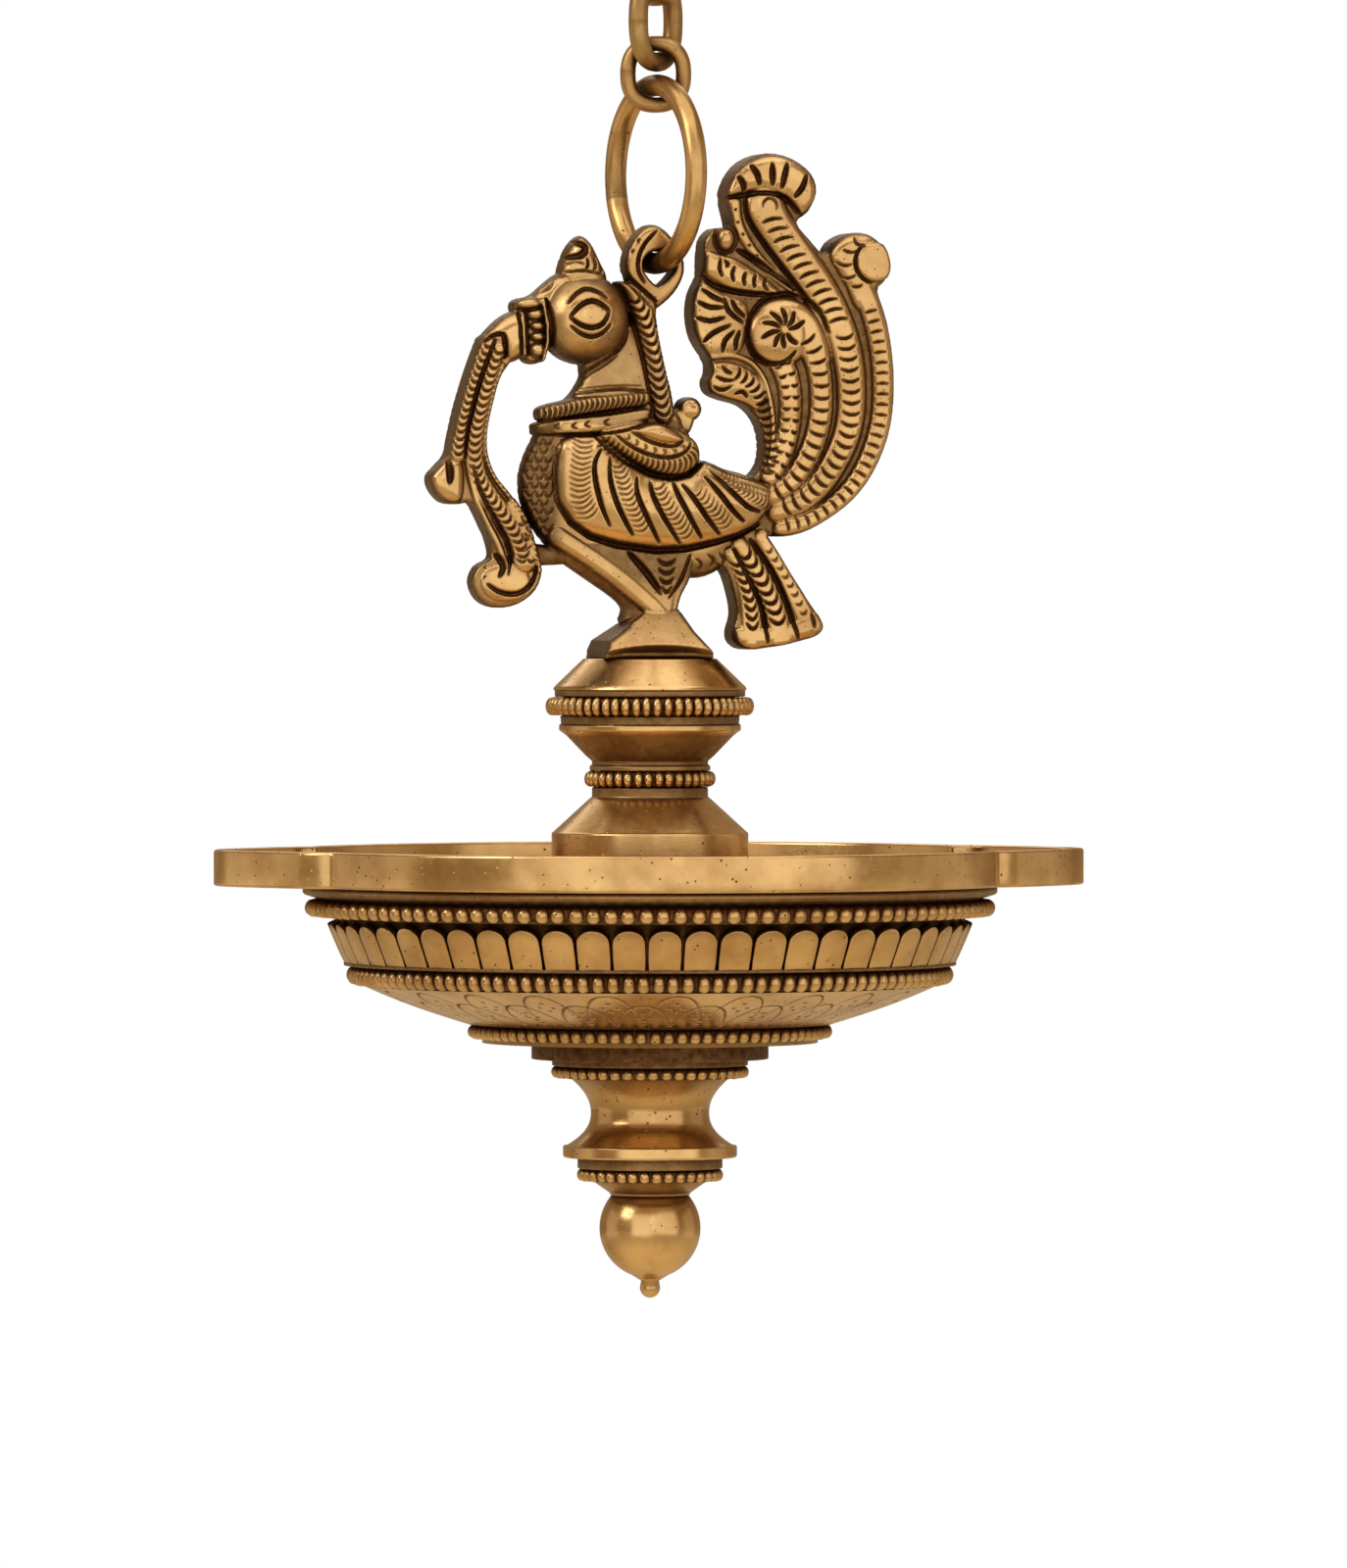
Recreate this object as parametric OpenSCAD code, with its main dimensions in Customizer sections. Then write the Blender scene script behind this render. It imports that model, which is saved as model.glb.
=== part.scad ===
// Hanging oil lamp: a chain, a cast bird and a two-spouted dish on a turned drop.
// Millimetres. The origin is the centre of the hook's bore, +Z is up, +X runs along the spouts.

/* [Hook] */
// Diameter of the hook's bore
hook_bore = 16; // [12:0.5:24]
// Width of the hook's bar, measured from the bore outwards
hook_bar = 5.5; // [4:0.5:9]
// Thickness of the hook along its bore
hook_thick = 6; // [4:0.5:10]
// Width of the hook's mouth
hook_mouth = 10; // [6:0.5:10.5]
// Drop of the hook's mouth below the level
mouth_drop = 30; // [20:1:40]
// Diameter of the shank
shank_d = 6.4; // [5:0.2:9]
// Bare length of the shank
shank_len = 6; // [3:0.5:30]
// Wire of the closed eye below the shank
eye_wire = 5; // [4:0.1:5.6]
// Clear width inside the eye
eye_clear_w = 9.6; // [9:0.2:14]

/* [Chain] */
// Wire of the three small rings
ring_wire = 4; // [3:0.1:4.6]
// Clear width inside a small ring
ring_clear_w = 9.6; // [9:0.1:14]
// Spare height left between the two wires inside a small ring
ring_slack = 0.6; // [0.4:0.1:4]
// Wire of the two oval links
link_wire = 5; // [4:0.1:5.2]
// Clear width inside an oval link
link_clear_w = 9.6; // [9:0.1:14]
// Clear height inside an oval link
link_clear_h = 16; // [14:0.5:40]
// Wire of the suspension ring
sling_wire = 5.6; // [4.5:0.1:6]
// Outside diameter of the suspension ring
sling_d = 51; // [46:1:80]
// Straight run in the middle of each loop's top and bottom
loop_flat = 2; // [1:0.5:3]
// Gap between two linked wires
link_gap = 0.25; // [0.15:0.05:0.4]
// Turn of the oval links and the eye about the vertical
link_turn = 51; // [45:1:57]
// Turn of the lowest small ring about the vertical
ring_turn = -9; // [-15:1:0]
// Turn of the suspension ring about the vertical
sling_turn = 111; // [105:1:117]

/* [Bird] */
// Turn of the bird on its thread
bird_turn = 6; // [0:1:12]
// Thickness of the tail fan's ground
tail_t = 14; // [10:0.5:17]
// Height of a tail plume over the ground, on each face
plume_rise = 1.4; // [0.5:0.1:2.5]
// Thickness of the beak garland
garland_t = 13.5; // [9:0.5:15]
// Thickness of the undertail
undertail_t = 14.5; // [9:0.5:17]
// Thickness of the chest and belly
trunk_t = 17; // [14:0.5:20]
// Greatest thickness of the wings, across both sides
wing_t = 25; // [21:0.5:28]
// Diameter of the head
head_d = 23.2; // [20:0.2:25]
// Distance of the lug's pivot from the bird's axis
lug_u = 1.5; // [0:0.1:2.5]
// Height of the lug's pivot over the bird's foot
lug_v = 100.75; // [98:0.25:104]
// Thickness of the lug
lug_t = 11; // [8:0.5:12]
// Width of the foot block
foot_w = 28.6; // [26:0.2:32]
// Depth of the threaded socket in the foot
socket_depth = 13; // [8:0.5:13.5]

/* [Stem] */
// Radius of the cap's top, where the bird stands
cap_top_r = 17; // [15:0.1:20]
// Radius of the cap's lower edge
cap_r = 24.75; // [22:0.1:30]
// Height of the cap's cone
cap_h = 8.1; // [5:0.1:15]
// Height of the plain step under the cap's cone
cap_step_h = 1.6; // [1:0.1:4]
// Overhang of the cap's cone past its step
cap_lip = 0.45; // [0.2:0.05:1]
// Radius over the large bead ring
stem_bead_r = 26.7; // [26:0.1:30]
// Height of the large bead ring
stem_bead_h = 4.75; // [3:0.05:6]
// Radius of the flange under the large bead ring
neck_top_r = 23.2; // [22.5:0.1:26]
// Height of the flange under the large bead ring
neck_top_h = 4; // [2:0.1:8]
// Height of the inverted cone
neck_cone_h = 7.6; // [4:0.1:15]
// Radius of the neck
neck_r = 14.8; // [13:0.1:18]
// Height of the neck over its bead ring
neck_h = 2.4; // [1:0.1:8]
// Radius over the neck's bead ring
neck_bead_r = 16.9; // [16.4:0.1:20]
// Height of the neck's bead ring
neck_bead_h = 4.1; // [3:0.05:5]
// Height of the neck under its bead ring
foot_neck_h = 3; // [1:0.1:8]
// Height of the foot's cone
foot_cone_h = 8.75; // [5:0.05:15]
// Radius of the foot's collar in the dish
foot_r = 25.1; // [20:0.1:30]
// Height of the foot's collar over the dish's rim
foot_rise = 4; // [0:0.1:8]

/* [Dish] */
// Radius of the dish's rim
dish_r = 92.5; // [86:0.5:100]
// Height of the dish's rim
rim_h = 9.25; // [8:0.25:14]
// Thickness of the dish's rim
rim_wall = 3; // [2:0.1:4]
// Depth of the dish at its rim
edge_depth = 6.5; // [5:0.1:7]
// Depth of the dish at its middle
well_depth = 16; // [12:0.25:18]
// Thickness of the dish's floor at its middle
floor_t = 4; // [3:0.1:6]
// Width of the ledge round the dish's well
well_ledge = 0.5; // [0.2:0.1:1]
// Margin of the dish's flat middle round the stem's foot
pad_margin = 2; // [1:0.5:4]
// Gap between the dish's underside and the bowl's wall
bowl_gap = 0.5; // [0.3:0.1:1]
// Reach of a spout's tip from the axis
spout_reach = 111.5; // [106:0.5:118]

/* [Lotus bowl] */
// Overhang of the dish's rim past the bowl's top edge
rim_overhang = 3.9; // [2:0.1:6]
// Wall of the lotus bowl
bowl_wall = 3; // [2:0.1:4]
// Height of the bowl's top edge
bowl_lip_h = 3.6; // [2:0.1:6]
// Height of the rim bead ring
rim_bead_h = 4.25; // [3:0.05:5]
// Inset of the rim bead ring from the bowl's top edge
rim_bead_inset = 0.4; // [0:0.1:1]
// Radius of the petal band's upper edge
petal_top_r = 82.5; // [80:0.1:83.5]
// Radius of the petal band's lower edge
petal_low_r = 78.1; // [76:0.1:82]
// Height of the petal band
petal_h = 12.4; // [8:0.1:18]
// Radius over the petal bead ring
petal_bead_r = 77.5; // [76:0.1:79]
// Height of the petal bead ring
petal_bead_h = 5; // [3:0.05:5.5]
// Height of the bowl's engraved underside
under_h = 10; // [6:0.1:18]
// Width of the ledge under the petal bead ring
under_ledge = 1; // [0.5:0.1:2]
// Swell of the engraved underside beyond a straight cone
under_swell = 1.5; // [0.5:0.1:2.5]
// Radius over the base bead ring
base_bead_r = 46.6; // [44:0.1:50]
// Height of the base bead ring
base_bead_h = 3.7; // [3:0.05:5]
// Height of the bowl's plain foot under the base bead ring
bowl_foot_h = 0.9; // [0.5:0.1:3]

/* [Drop] */
// Radius of the spool's disc
disc_r = 30.25; // [27:0.25:36]
// Height of the spool's disc
disc_h = 4.2; // [3:0.1:8]
// Height of the plain step under the disc
disc_step_h = 1.7; // [1:0.1:3]
// Inset of that step from the collar bead ring
disc_step_inset = 0.3; // [0.1:0.1:1]
// Radius over the collar bead ring
collar_bead_r = 25.3; // [23:0.1:26.5]
// Height of the collar bead ring
collar_bead_h = 3.15; // [2.5:0.05:4]
// Radius of the spool's waist
waist_r = 15.1; // [12:0.1:17]
// Height of the spool's waist
waist_h = 17.2; // [12:0.1:24]
// Inset of the waist's top from the collar bead ring's seat
waist_inset = 1.8; // [1:0.1:3]
// Radius of the spool's lower flange
flange_r = 22.2; // [20:0.1:24]
// Height of the spool's lower flange
flange_h = 3; // [2:0.1:6]
// Radius of the collar under the flange
collar_r = 18.5; // [17.5:0.1:20]
// Height of the collar under the flange
collar_h = 2.8; // [1.5:0.1:6]
// Radius over the drop bead ring
drop_bead_r = 18.8; // [18:0.1:20]
// Height of the drop bead ring
drop_bead_h = 3.2; // [2.5:0.05:4]
// Height of the cone under the drop bead ring
drop_cone_h = 3.75; // [2:0.05:8]
// Diameter of the ball
ball_d = 25.8; // [23:0.2:30]
// Height from the collar's end down to the ball's centre
ball_drop = 8.2; // [7:0.1:9.5]
// Length of the ball's tip
tip_len = 5; // [3:0.5:10]
// Radius of the ball's tip
tip_r = 2.6; // [1.5:0.1:4]

/* [Rod and fixings] */
// Diameter of the tie rod
rod_d = 8; // [6:0.5:9]
// Gap round the rod in the plain bores
rod_gap = 0.25; // [0.15:0.05:0.5]
// Gap round the rod in the threaded bores
thread_gap = 0.1; // [0.05:0.05:0.2]
// Gap between a bead ring and its seat
bead_gap = 0.05; // [0.02:0.01:0.2]
// Depth of the thread in the ball
ball_thread = 12; // [8:0.5:14]
// Thickness of the oil seal
seal_t = 1.5; // [0.5:0.1:3]
// Radius of the oil seal
seal_r = 20; // [14:0.5:21]
// Radius of the clamp washer
washer_r = 14; // [10:0.5:18]
// Thickness of the clamp washer
washer_t = 2; // [1:0.1:4]
// Width of the clamp nut across its flats
nut_af = 13; // [12.5:0.5:17]
// Height of the clamp nut
nut_h = 6.5; // [4:0.5:9]

/* [Hidden] */

$fn = 96;
cast_brass = "#b98d4d";
turned_brass = "#c59a57";
drawn_brass = "#a9803f";
steel = "#9a9a96";
fibre = "#6b5138";
past = 1;

// Small flat where a cone meets an edge, and the steps and powers of the turned curves
arris = 0.2;
under_steps = 6;
waist_steps = 8;
waist_top_power = 2;
waist_low_power = 2.4;

// Chain heights, from the hook's eye down: each pivot is the centre of the wire that carries the next piece
eye_clear_h = ring_wire + link_gap + ring_slack + eye_wire / 2;
ring_clear_h = link_wire + max(sling_wire, link_wire, eye_wire) + 2 * link_gap + ring_slack;
sling_clear = sling_d - 2 * sling_wire;
eye_top_z = -hook_bore / 2 - hook_bar - shank_len;
eye_z = eye_top_z - eye_clear_h - eye_wire;
ring_1_z = hung_from(eye_z, eye_wire, ring_wire, ring_clear_h);
link_1_z = hung_from(ring_1_z, ring_wire, link_wire, link_clear_h);
ring_2_z = hung_from(link_1_z, link_wire, ring_wire, ring_clear_h);
link_2_z = hung_from(ring_2_z, ring_wire, link_wire, link_clear_h);
ring_3_z = hung_from(link_2_z, link_wire, ring_wire, ring_clear_h);
sling_z = hung_from(ring_3_z, ring_wire, sling_wire, sling_clear);
cross_turn = link_turn - 90;

// Stack heights, measured from the dish's rim, up to the bird and down to the ball
floor_z = -well_depth;
seal_z = floor_z + seal_t;
foot_top_z = foot_rise + foot_cone_h + foot_neck_h;
neck_bead_top_z = foot_top_z + neck_bead_h + 2 * bead_gap;
cone_low_z = neck_bead_top_z + neck_h;
cone_top_z = cone_low_z + neck_cone_h;
neck_top_z = cone_top_z + neck_top_h;
cap_z = neck_top_z + stem_bead_h + 2 * bead_gap;
seat_z = cap_z + cap_step_h + cap_h;
dish_under_z = floor_z - floor_t;
nut_z = dish_under_z - washer_t;
bowl_top_z = -rim_h;
bowl_top_r = dish_r - rim_overhang;
rim_bead_z = bowl_top_z - bowl_lip_h;
rim_bead_r = bowl_top_r - rim_bead_inset;
petal_z = rim_bead_z - rim_bead_h - 2 * bead_gap;
petal_low_z = petal_z - petal_h;
under_z = petal_low_z - petal_bead_h - 2 * bead_gap;
under_r = petal_bead_r - petal_bead_h + under_ledge;
base_z = under_z - under_h;
bowl_base_z = base_z - base_bead_h - 2 * bead_gap - bowl_foot_h;
disc_low_z = bowl_base_z - disc_h;
collar_bead_z = disc_low_z - disc_step_h;
waist_z = collar_bead_z - collar_bead_h - 2 * bead_gap;
flange_z = waist_z - waist_h;
collar_z = flange_z - flange_h;
drop_bead_z = collar_z - collar_h;
drop_cone_z = drop_bead_z - drop_bead_h - 2 * bead_gap;
drop_end_z = drop_cone_z - drop_cone_h;
ball_z = drop_end_z - ball_drop;
ball_neck_r = sqrt(pow(ball_d / 2, 2) - pow(ball_drop, 2));
bore_r = rod_d / 2 + rod_gap;
thread_r = rod_d / 2 + thread_gap;

// The lamp hangs with the bird's lug on the suspension ring
rim_z = sling_z - lug_v - seat_z;
lamp_at = [-lug_u * cos(bird_turn), -lug_u * sin(bird_turn), rim_z];

// Bottom wire height of a loop that hangs on the wire at height z
function hung_from(z, carrier, wire, clear) = z + (carrier + wire) / 2 + link_gap - clear - wire;

// Curves through hand-placed points
curve_steps = 3;
function curve_at(a, b, c, d, t) =
    (2 * b + (c - a) * t + (2 * a - 5 * b + 4 * c - d) * t * t + (3 * b - 3 * c + d - a) * t * t * t) / 2;
function closed_curve(p, n = curve_steps) = [
    for (i = [0 : len(p) - 1])
        for (k = [0 : n - 1])
            curve_at(p[(i + len(p) - 1) % len(p)], p[i], p[(i + 1) % len(p)], p[(i + 2) % len(p)], k / n)
];
function open_curve(p, n = curve_steps) = [
    for (i = [0 : len(p) - 2])
        for (k = [0 : i == len(p) - 2 ? n : n - 1])
            curve_at(p[max(i - 1, 0)], p[i], p[i + 1], p[min(i + 2, len(p) - 1)], k / n)
];
function side_of(p, i) =
    let (d = p[min(i + 1, len(p) - 1)] - p[max(i - 1, 0)])
    [-d[1], d[0]] / norm(d);
function ribbon(p, half_w) = concat(
    [for (i = [0 : len(p) - 1]) p[i] + half_w * side_of(p, i)],
    [for (i = [len(p) - 1 : -1 : 0]) p[i] - half_w * side_of(p, i)]
);
function mirrored(p) = concat(p, [for (i = [len(p) - 1 : -1 : 0]) [p[i][0], -p[i][1]]]);

// Bird outlines: u along the bird with the tail at +u, v up from its foot
tail_points = [
    [25, 34], [31, 31.2], [38, 32], [45, 35.6], [51, 41], [56, 48], [59.8, 57], [61.5, 67], [61.3, 76],
    [59.8, 86], [57.6, 94.2], [60.3, 96.5], [61.2, 100.5], [59.5, 105.5], [55.5, 108.4], [50.5, 108.5],
    [46.5, 106.3], [44.3, 103.3], [40.5, 107], [37.2, 111.3], [40.2, 114], [42.4, 119], [41, 123.7],
    [36, 127.5], [29.5, 128.9], [23.5, 126.8], [19.8, 122.5], [18.5, 117.5], [19.6, 113], [19.8, 110],
    [15.8, 109.6], [13.1, 106.5], [12.8, 102], [12.2, 97], [10.4, 93], [9.8, 87.5], [11, 81.5],
    [14.1, 76.6], [14.9, 73], [13.8, 70.3], [15, 67.5], [18.5, 66], [23.5, 64.5], [27, 61], [28.6, 56],
    [28.3, 50.5], [26, 46.8], [21, 43]
];
plume_paths = [
    [[33, 33.2], [40, 35], [46, 39], [51.5, 45], [55.5, 52.5], [57.9, 61], [58.4, 71], [57.4, 81],
        [55.2, 90], [52, 97.5]],
    [[32, 37.5], [38, 40], [43.5, 45], [47.8, 52], [50.4, 60], [51, 70], [49.6, 80], [45.4, 88],
        [38.5, 97], [32, 106.5], [28.3, 114]],
    [[30.5, 41.5], [35.5, 45], [39.6, 51], [42.3, 58], [43.3, 66], [42.3, 75], [38.5, 82], [33, 84.5]],
    [[29.8, 46], [32.6, 50.5], [34.6, 57], [35.3, 64], [34.6, 71], [32.6, 76]]
];
plume_half_w = [2.3, 2.7, 2.9, 2.5];
cap_points = [
    [18.8, 118], [24, 119], [29, 119.4], [34, 117.6], [37.8, 113.2], [41, 116], [41.7, 120], [39.5, 124.3],
    [34.5, 127.5], [29, 128.2], [23, 125.8], [20, 122]
];
garland_points = [
    [-36.5, 77], [-39.7, 71.5], [-41.5, 65.5], [-43, 59], [-43.1, 53], [-41, 47], [-37, 42], [-33.2, 36.5],
    [-31, 31], [-30, 26.5], [-28.8, 22.5], [-30.5, 17.5], [-35, 14], [-40.5, 13], [-45, 15], [-47, 19.5],
    [-45.5, 23.5], [-42.2, 25.6], [-42.3, 29], [-44.5, 35], [-47.3, 39.6], [-50.5, 39.3], [-54.5, 39.9],
    [-57.4, 43.2], [-57.9, 46.6], [-55.5, 49.3], [-53.4, 52], [-52, 57], [-50.5, 63.5], [-48.3, 71],
    [-46.3, 77], [-44.5, 81], [-40, 82]
];
garland_tie_points = [[-32, 29], [-27, 29], [-21, 29], [-21, 24.6], [-27.5, 23.8], [-32, 24]];
beak_points = [
    [-32, 89], [-35.5, 88.6], [-39, 87], [-42.4, 84], [-45.2, 80.4], [-44, 79], [-40.5, 78.6], [-37.7, 75.4],
    [-34, 76.5], [-31, 80]
];
crest_points = [
    [-25, 95.5], [-23.3, 101.5], [-21.5, 105.5], [-18.7, 107.7], [-16, 106], [-13.8, 101.8], [-11.6, 96.4],
    [-14, 90], [-22, 90]
];
trunk_points = [
    [-27, 61], [-31, 55.5], [-33.4, 50], [-34.3, 45], [-33.4, 39], [-30.5, 33], [-26, 28], [-20, 24],
    [-10, 22.5], [0, 21.5], [8, 20.6], [14, 21], [20, 24.5], [27, 31.5], [30.5, 37], [30, 42.5], [25, 46.6],
    [18, 48.6], [12, 51], [10.6, 55], [8, 60], [0, 63], [-14, 63.4]
];
neck_points = [
    [-18.4, 78], [-18.5, 72], [-21, 67.5], [-25, 62], [-12, 59], [2, 60], [2.5, 68], [0, 77], [-5, 86],
    [-12, 84]
];
rope_points = [
    [-30.3, 62.4], [-28.6, 64.3], [-20, 66.2], [-10, 67.4], [-2.6, 67.9], [-1.4, 66.2], [-2.6, 64.5],
    [-10, 63.5], [-20, 62], [-28.5, 60.4]
];
band_points = [
    [-31.2, 58.4], [-29.8, 60.2], [-18, 61.5], [-3, 63.6], [-1.8, 62], [-3, 60.2], [-10, 58.4], [-18, 57.2],
    [-29.6, 56.7]
];
cape_points = [
    [-15, 57], [-8, 51.4], [0, 47.4], [6.5, 47], [10.6, 49.8], [11.2, 53.5], [8, 57], [1, 59.6], [-8, 60]
];
mane_points = [
    [-9.5, 96], [-7.2, 91], [-5, 85], [-3.4, 79], [-2.3, 73], [-1.5, 67], [-0.5, 61.5], [2.5, 58.5],
    [5.3, 62], [4.9, 67], [3.6, 73], [2.1, 80], [0.8, 87], [0.6, 91], [-4, 95]
];
lug_points = [
    [-1.2, 9.6], [2.4, 7.9], [5.8, 3.2], [7, -1.5], [5.3, -6.2], [1.6, -10.2], [-2.2, -12], [-5.8, -7.8],
    [-8.2, -2.3], [-7.2, 3.8], [-4.4, 8]
];
leg_points = [
    [-26, 29], [-24.4, 25.6], [-16.5, 20], [-10, 15.5], [-7.6, 12.6], [-8, 9], [0, 7], [7.6, 9],
    [6.6, 12.6], [7.4, 16.5], [10, 21], [8, 27], [-8, 29]
];
undertail_points = [
    [13, 27], [18.2, 23], [20.5, 17], [21.4, 11.5], [20.3, 7], [21, 4], [24.5, 2.3], [31, 3], [38, 4.4],
    [43, 6.2], [44.2, 8.7], [41.5, 13], [36, 21], [31, 29], [27, 33], [19, 31]
];
head_at = [-17.6, 86.4];
snout_at = [-31, 83.4];
snout_r = 8.2;
snout_len = 6.4;
snout_tilt = 12;
rosette_at = [31, 83];
rosette_r = 6.6;
tail_disc_at = [56.8, 100.4];
tail_disc_r = 4.2;
knob_at = [9.4, 63.4];
knob_r = 3;
knob_stalk_points = [[4, 58], [9, 57], [11, 61], [10, 64], [6, 63.5], [3, 62]];
wing_at = [2.5, 40.6];
wing_half_len = 29;
wing_tilt = -5;
foot_skirt_h = 3;
foot_top = 12;
foot_waist_w = 14;
lug_eye_r = 3.4;
lug_eye_drop = 3.4;

// Steps of the bird's smaller forms up or down from their neighbours, on each face
plume_step = 0.1;
plume_cap_rise = 1.1;
rosette_rise = 1.8;
tail_disc_rise = 1.7;
crest_sink = 1;
beak_sink = 0.5;
tie_sink = 1.5;
neck_sink = 0.5;
rope_rise = 1.25;
band_rise = 1.75;
cape_sink = 1.5;
mane_sink = 1;
knob_sink = 3;
stalk_sink = 3.5;
leg_sink = 0.5;

// Spout outline, from the crease beside the rim to the tip on the axis
spout_crease_a = 24.5;
spout_crease = dish_r * [cos(spout_crease_a), sin(spout_crease_a)];
spout_root_step = [-6, 1.2];
spout_tip_points = [[-20.5, 34.6], [-12.5, 25.4], [-5.4, 15.4], [-1.2, 7.2], [0, 0]];
spout_points = concat(
    [spout_crease + spout_root_step, spout_crease], [for (p = spout_tip_points) p + [spout_reach, 0]]
);

// A loop of round wire in the XZ plane, its bottom wire's centre at the origin
module wire_loop(wire, clear_w, clear_h, flat = loop_flat) {
    w = clear_w + wire;
    h = clear_h + wire;
    bend_r = min(w - flat, h - flat) / 2;
    run_x = w - 2 * bend_r;
    run_z = h - 2 * bend_r;
    translate([0, 0, h / 2])
        rotate([90, 0, 0])
            union() {
                for (k = [0 : 3])
                    translate([(k % 3 == 0 ? 1 : -1) * run_x / 2, (k < 2 ? 1 : -1) * run_z / 2, 0])
                        rotate([0, 0, 90 * k])
                            rotate_extrude(angle = 90)
                                translate([bend_r, 0])
                                    circle(d = wire);
                for (s = [-1, 1]) {
                    translate([-run_x / 2, s * h / 2, 0])
                        rotate([0, 90, 0])
                            cylinder(d = wire, h = run_x);
                    translate([s * w / 2, -run_z / 2, 0])
                        rotate([-90, 0, 0])
                            cylinder(d = wire, h = run_z);
                }
            }
}

module ceiling_hook() {
    outer_r = hook_bore / 2 + hook_bar;
    color(drawn_brass)
        union() {
            difference() {
                rotate([90, 0, 0])
                    cylinder(r = outer_r, h = hook_thick, center = true);
                rotate([90, 0, 0])
                    cylinder(d = hook_bore, h = hook_thick + 2 * past, center = true);
                rotate([0, mouth_drop, 0])
                    translate([0, -hook_thick / 2 - past, -hook_mouth / 2])
                        cube([outer_r + past, hook_thick + 2 * past, hook_mouth]);
            }
            translate([0, 0, eye_top_z - eye_wire / 2])
                cylinder(d = shank_d, h = shank_len + eye_wire / 2 + hook_bar / 2);
            translate([0, 0, eye_z])
                rotate([0, 0, link_turn])
                    wire_loop(eye_wire, eye_clear_w, eye_clear_h);
        }
}

module chain_ring(z, turn) {
    color(drawn_brass)
        translate([0, 0, z])
            rotate([0, 0, turn])
                wire_loop(ring_wire, ring_clear_w, ring_clear_h);
}

module chain_link(z) {
    color(drawn_brass)
        translate([0, 0, z])
            rotate([0, 0, link_turn])
                wire_loop(link_wire, link_clear_w, link_clear_h);
}

module suspension_ring() {
    color(drawn_brass)
        translate([0, 0, sling_z])
            rotate([0, 0, sling_turn])
                wire_loop(sling_wire, sling_clear, sling_clear);
}

// A flat casting of the bird, as thick as t, with the outline's points joined by a curve
module slab(points, t) {
    rotate([90, 0, 0])
        linear_extrude(height = t, center = true)
            polygon(closed_curve(points));
}

module across(at, r, t) {
    translate([at[0], 0, at[1]])
        rotate([90, 0, 0])
            cylinder(r = r, h = t, center = true);
}

module bird_tail() {
    slab(tail_points, tail_t);
    for (i = [0 : len(plume_paths) - 1])
        rotate([90, 0, 0])
            linear_extrude(height = tail_t + 2 * (plume_rise - plume_step * i), center = true)
                polygon(ribbon(open_curve(plume_paths[i]), plume_half_w[i]));
    slab(cap_points, tail_t + 2 * plume_cap_rise);
    across(rosette_at, rosette_r, tail_t + 2 * rosette_rise);
    across(tail_disc_at, tail_disc_r, tail_t + 2 * tail_disc_rise);
    slab(undertail_points, undertail_t);
}

module bird_head() {
    translate([head_at[0], 0, head_at[1]])
        sphere(d = head_d);
    slab(crest_points, garland_t - 2 * crest_sink);
    translate([snout_at[0], 0, snout_at[1]])
        rotate([0, 90 - snout_tilt, 0])
            cylinder(r = snout_r, h = snout_len, center = true);
    slab(beak_points, garland_t - 2 * beak_sink);
    slab(garland_points, garland_t);
    slab(garland_tie_points, garland_t - 2 * tie_sink);
}

module bird_trunk() {
    slab(trunk_points, trunk_t);
    slab(neck_points, trunk_t - 2 * neck_sink);
    slab(rope_points, trunk_t + 2 * rope_rise);
    slab(band_points, trunk_t + 2 * band_rise);
    slab(cape_points, wing_t - 2 * cape_sink);
    slab(mane_points, trunk_t - 2 * mane_sink);
    across(knob_at, knob_r, trunk_t - 2 * knob_sink);
    slab(knob_stalk_points, trunk_t - 2 * stalk_sink);
    translate([wing_at[0], 0, wing_at[1]])
        rotate([0, 90 - wing_tilt, 0])
            wing_bulge();
    slab(leg_points, foot_waist_w - 2 * leg_sink);
}

// Body of revolution whose side is one arc
module wing_bulge() {
    half_t = wing_t / 2;
    arc_r = (pow(wing_half_len, 2) + pow(half_t, 2)) / (2 * half_t);
    rotate_extrude()
        intersection() {
            translate([half_t - arc_r, 0])
                circle(r = arc_r, $fn = 4 * $fn);
            translate([0, -wing_half_len])
                square([half_t + past, 2 * wing_half_len]);
        }
}

module wedge_profile(half_w) {
    polygon([
        [-half_w, 0], [half_w, 0], [half_w, foot_skirt_h], [foot_waist_w / 2, foot_top],
        [-foot_waist_w / 2, foot_top], [-half_w, foot_skirt_h]
    ]);
}

module bird_foot() {
    intersection() {
        rotate([90, 0, 0])
            linear_extrude(height = foot_w + 2 * past, center = true)
                wedge_profile(foot_w / 2);
        rotate([90, 0, 90])
            linear_extrude(height = foot_w + 2 * past, center = true)
                wedge_profile(foot_w / 2);
        cylinder(r = cap_top_r, h = foot_top);
    }
}

// Eye of the lug: a flared bore round the suspension ring's wire, open below it
module lug_bore() {
    bend_r = (sling_clear + sling_wire) / 2;
    inner_r = sling_wire / 2 + link_gap;
    flare = lug_t / 2 + 2 * past;
    translate([lug_u, 0, lug_v])
        rotate([0, 0, sling_turn - bird_turn])
            rotate([0, 90, 0])
                rotate_extrude()
                    difference() {
                        translate([0, -flare])
                            square([inner_r + flare / 2, 2 * flare]);
                        translate([inner_r + bend_r, 0])
                            circle(r = bend_r, $fn = 4 * $fn);
                        translate([inner_r, -loop_flat / 2])
                            square([flare, loop_flat]);
                    }
    across([lug_u, lug_v - lug_eye_drop], lug_eye_r, lug_t + 2 * past);
}

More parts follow.
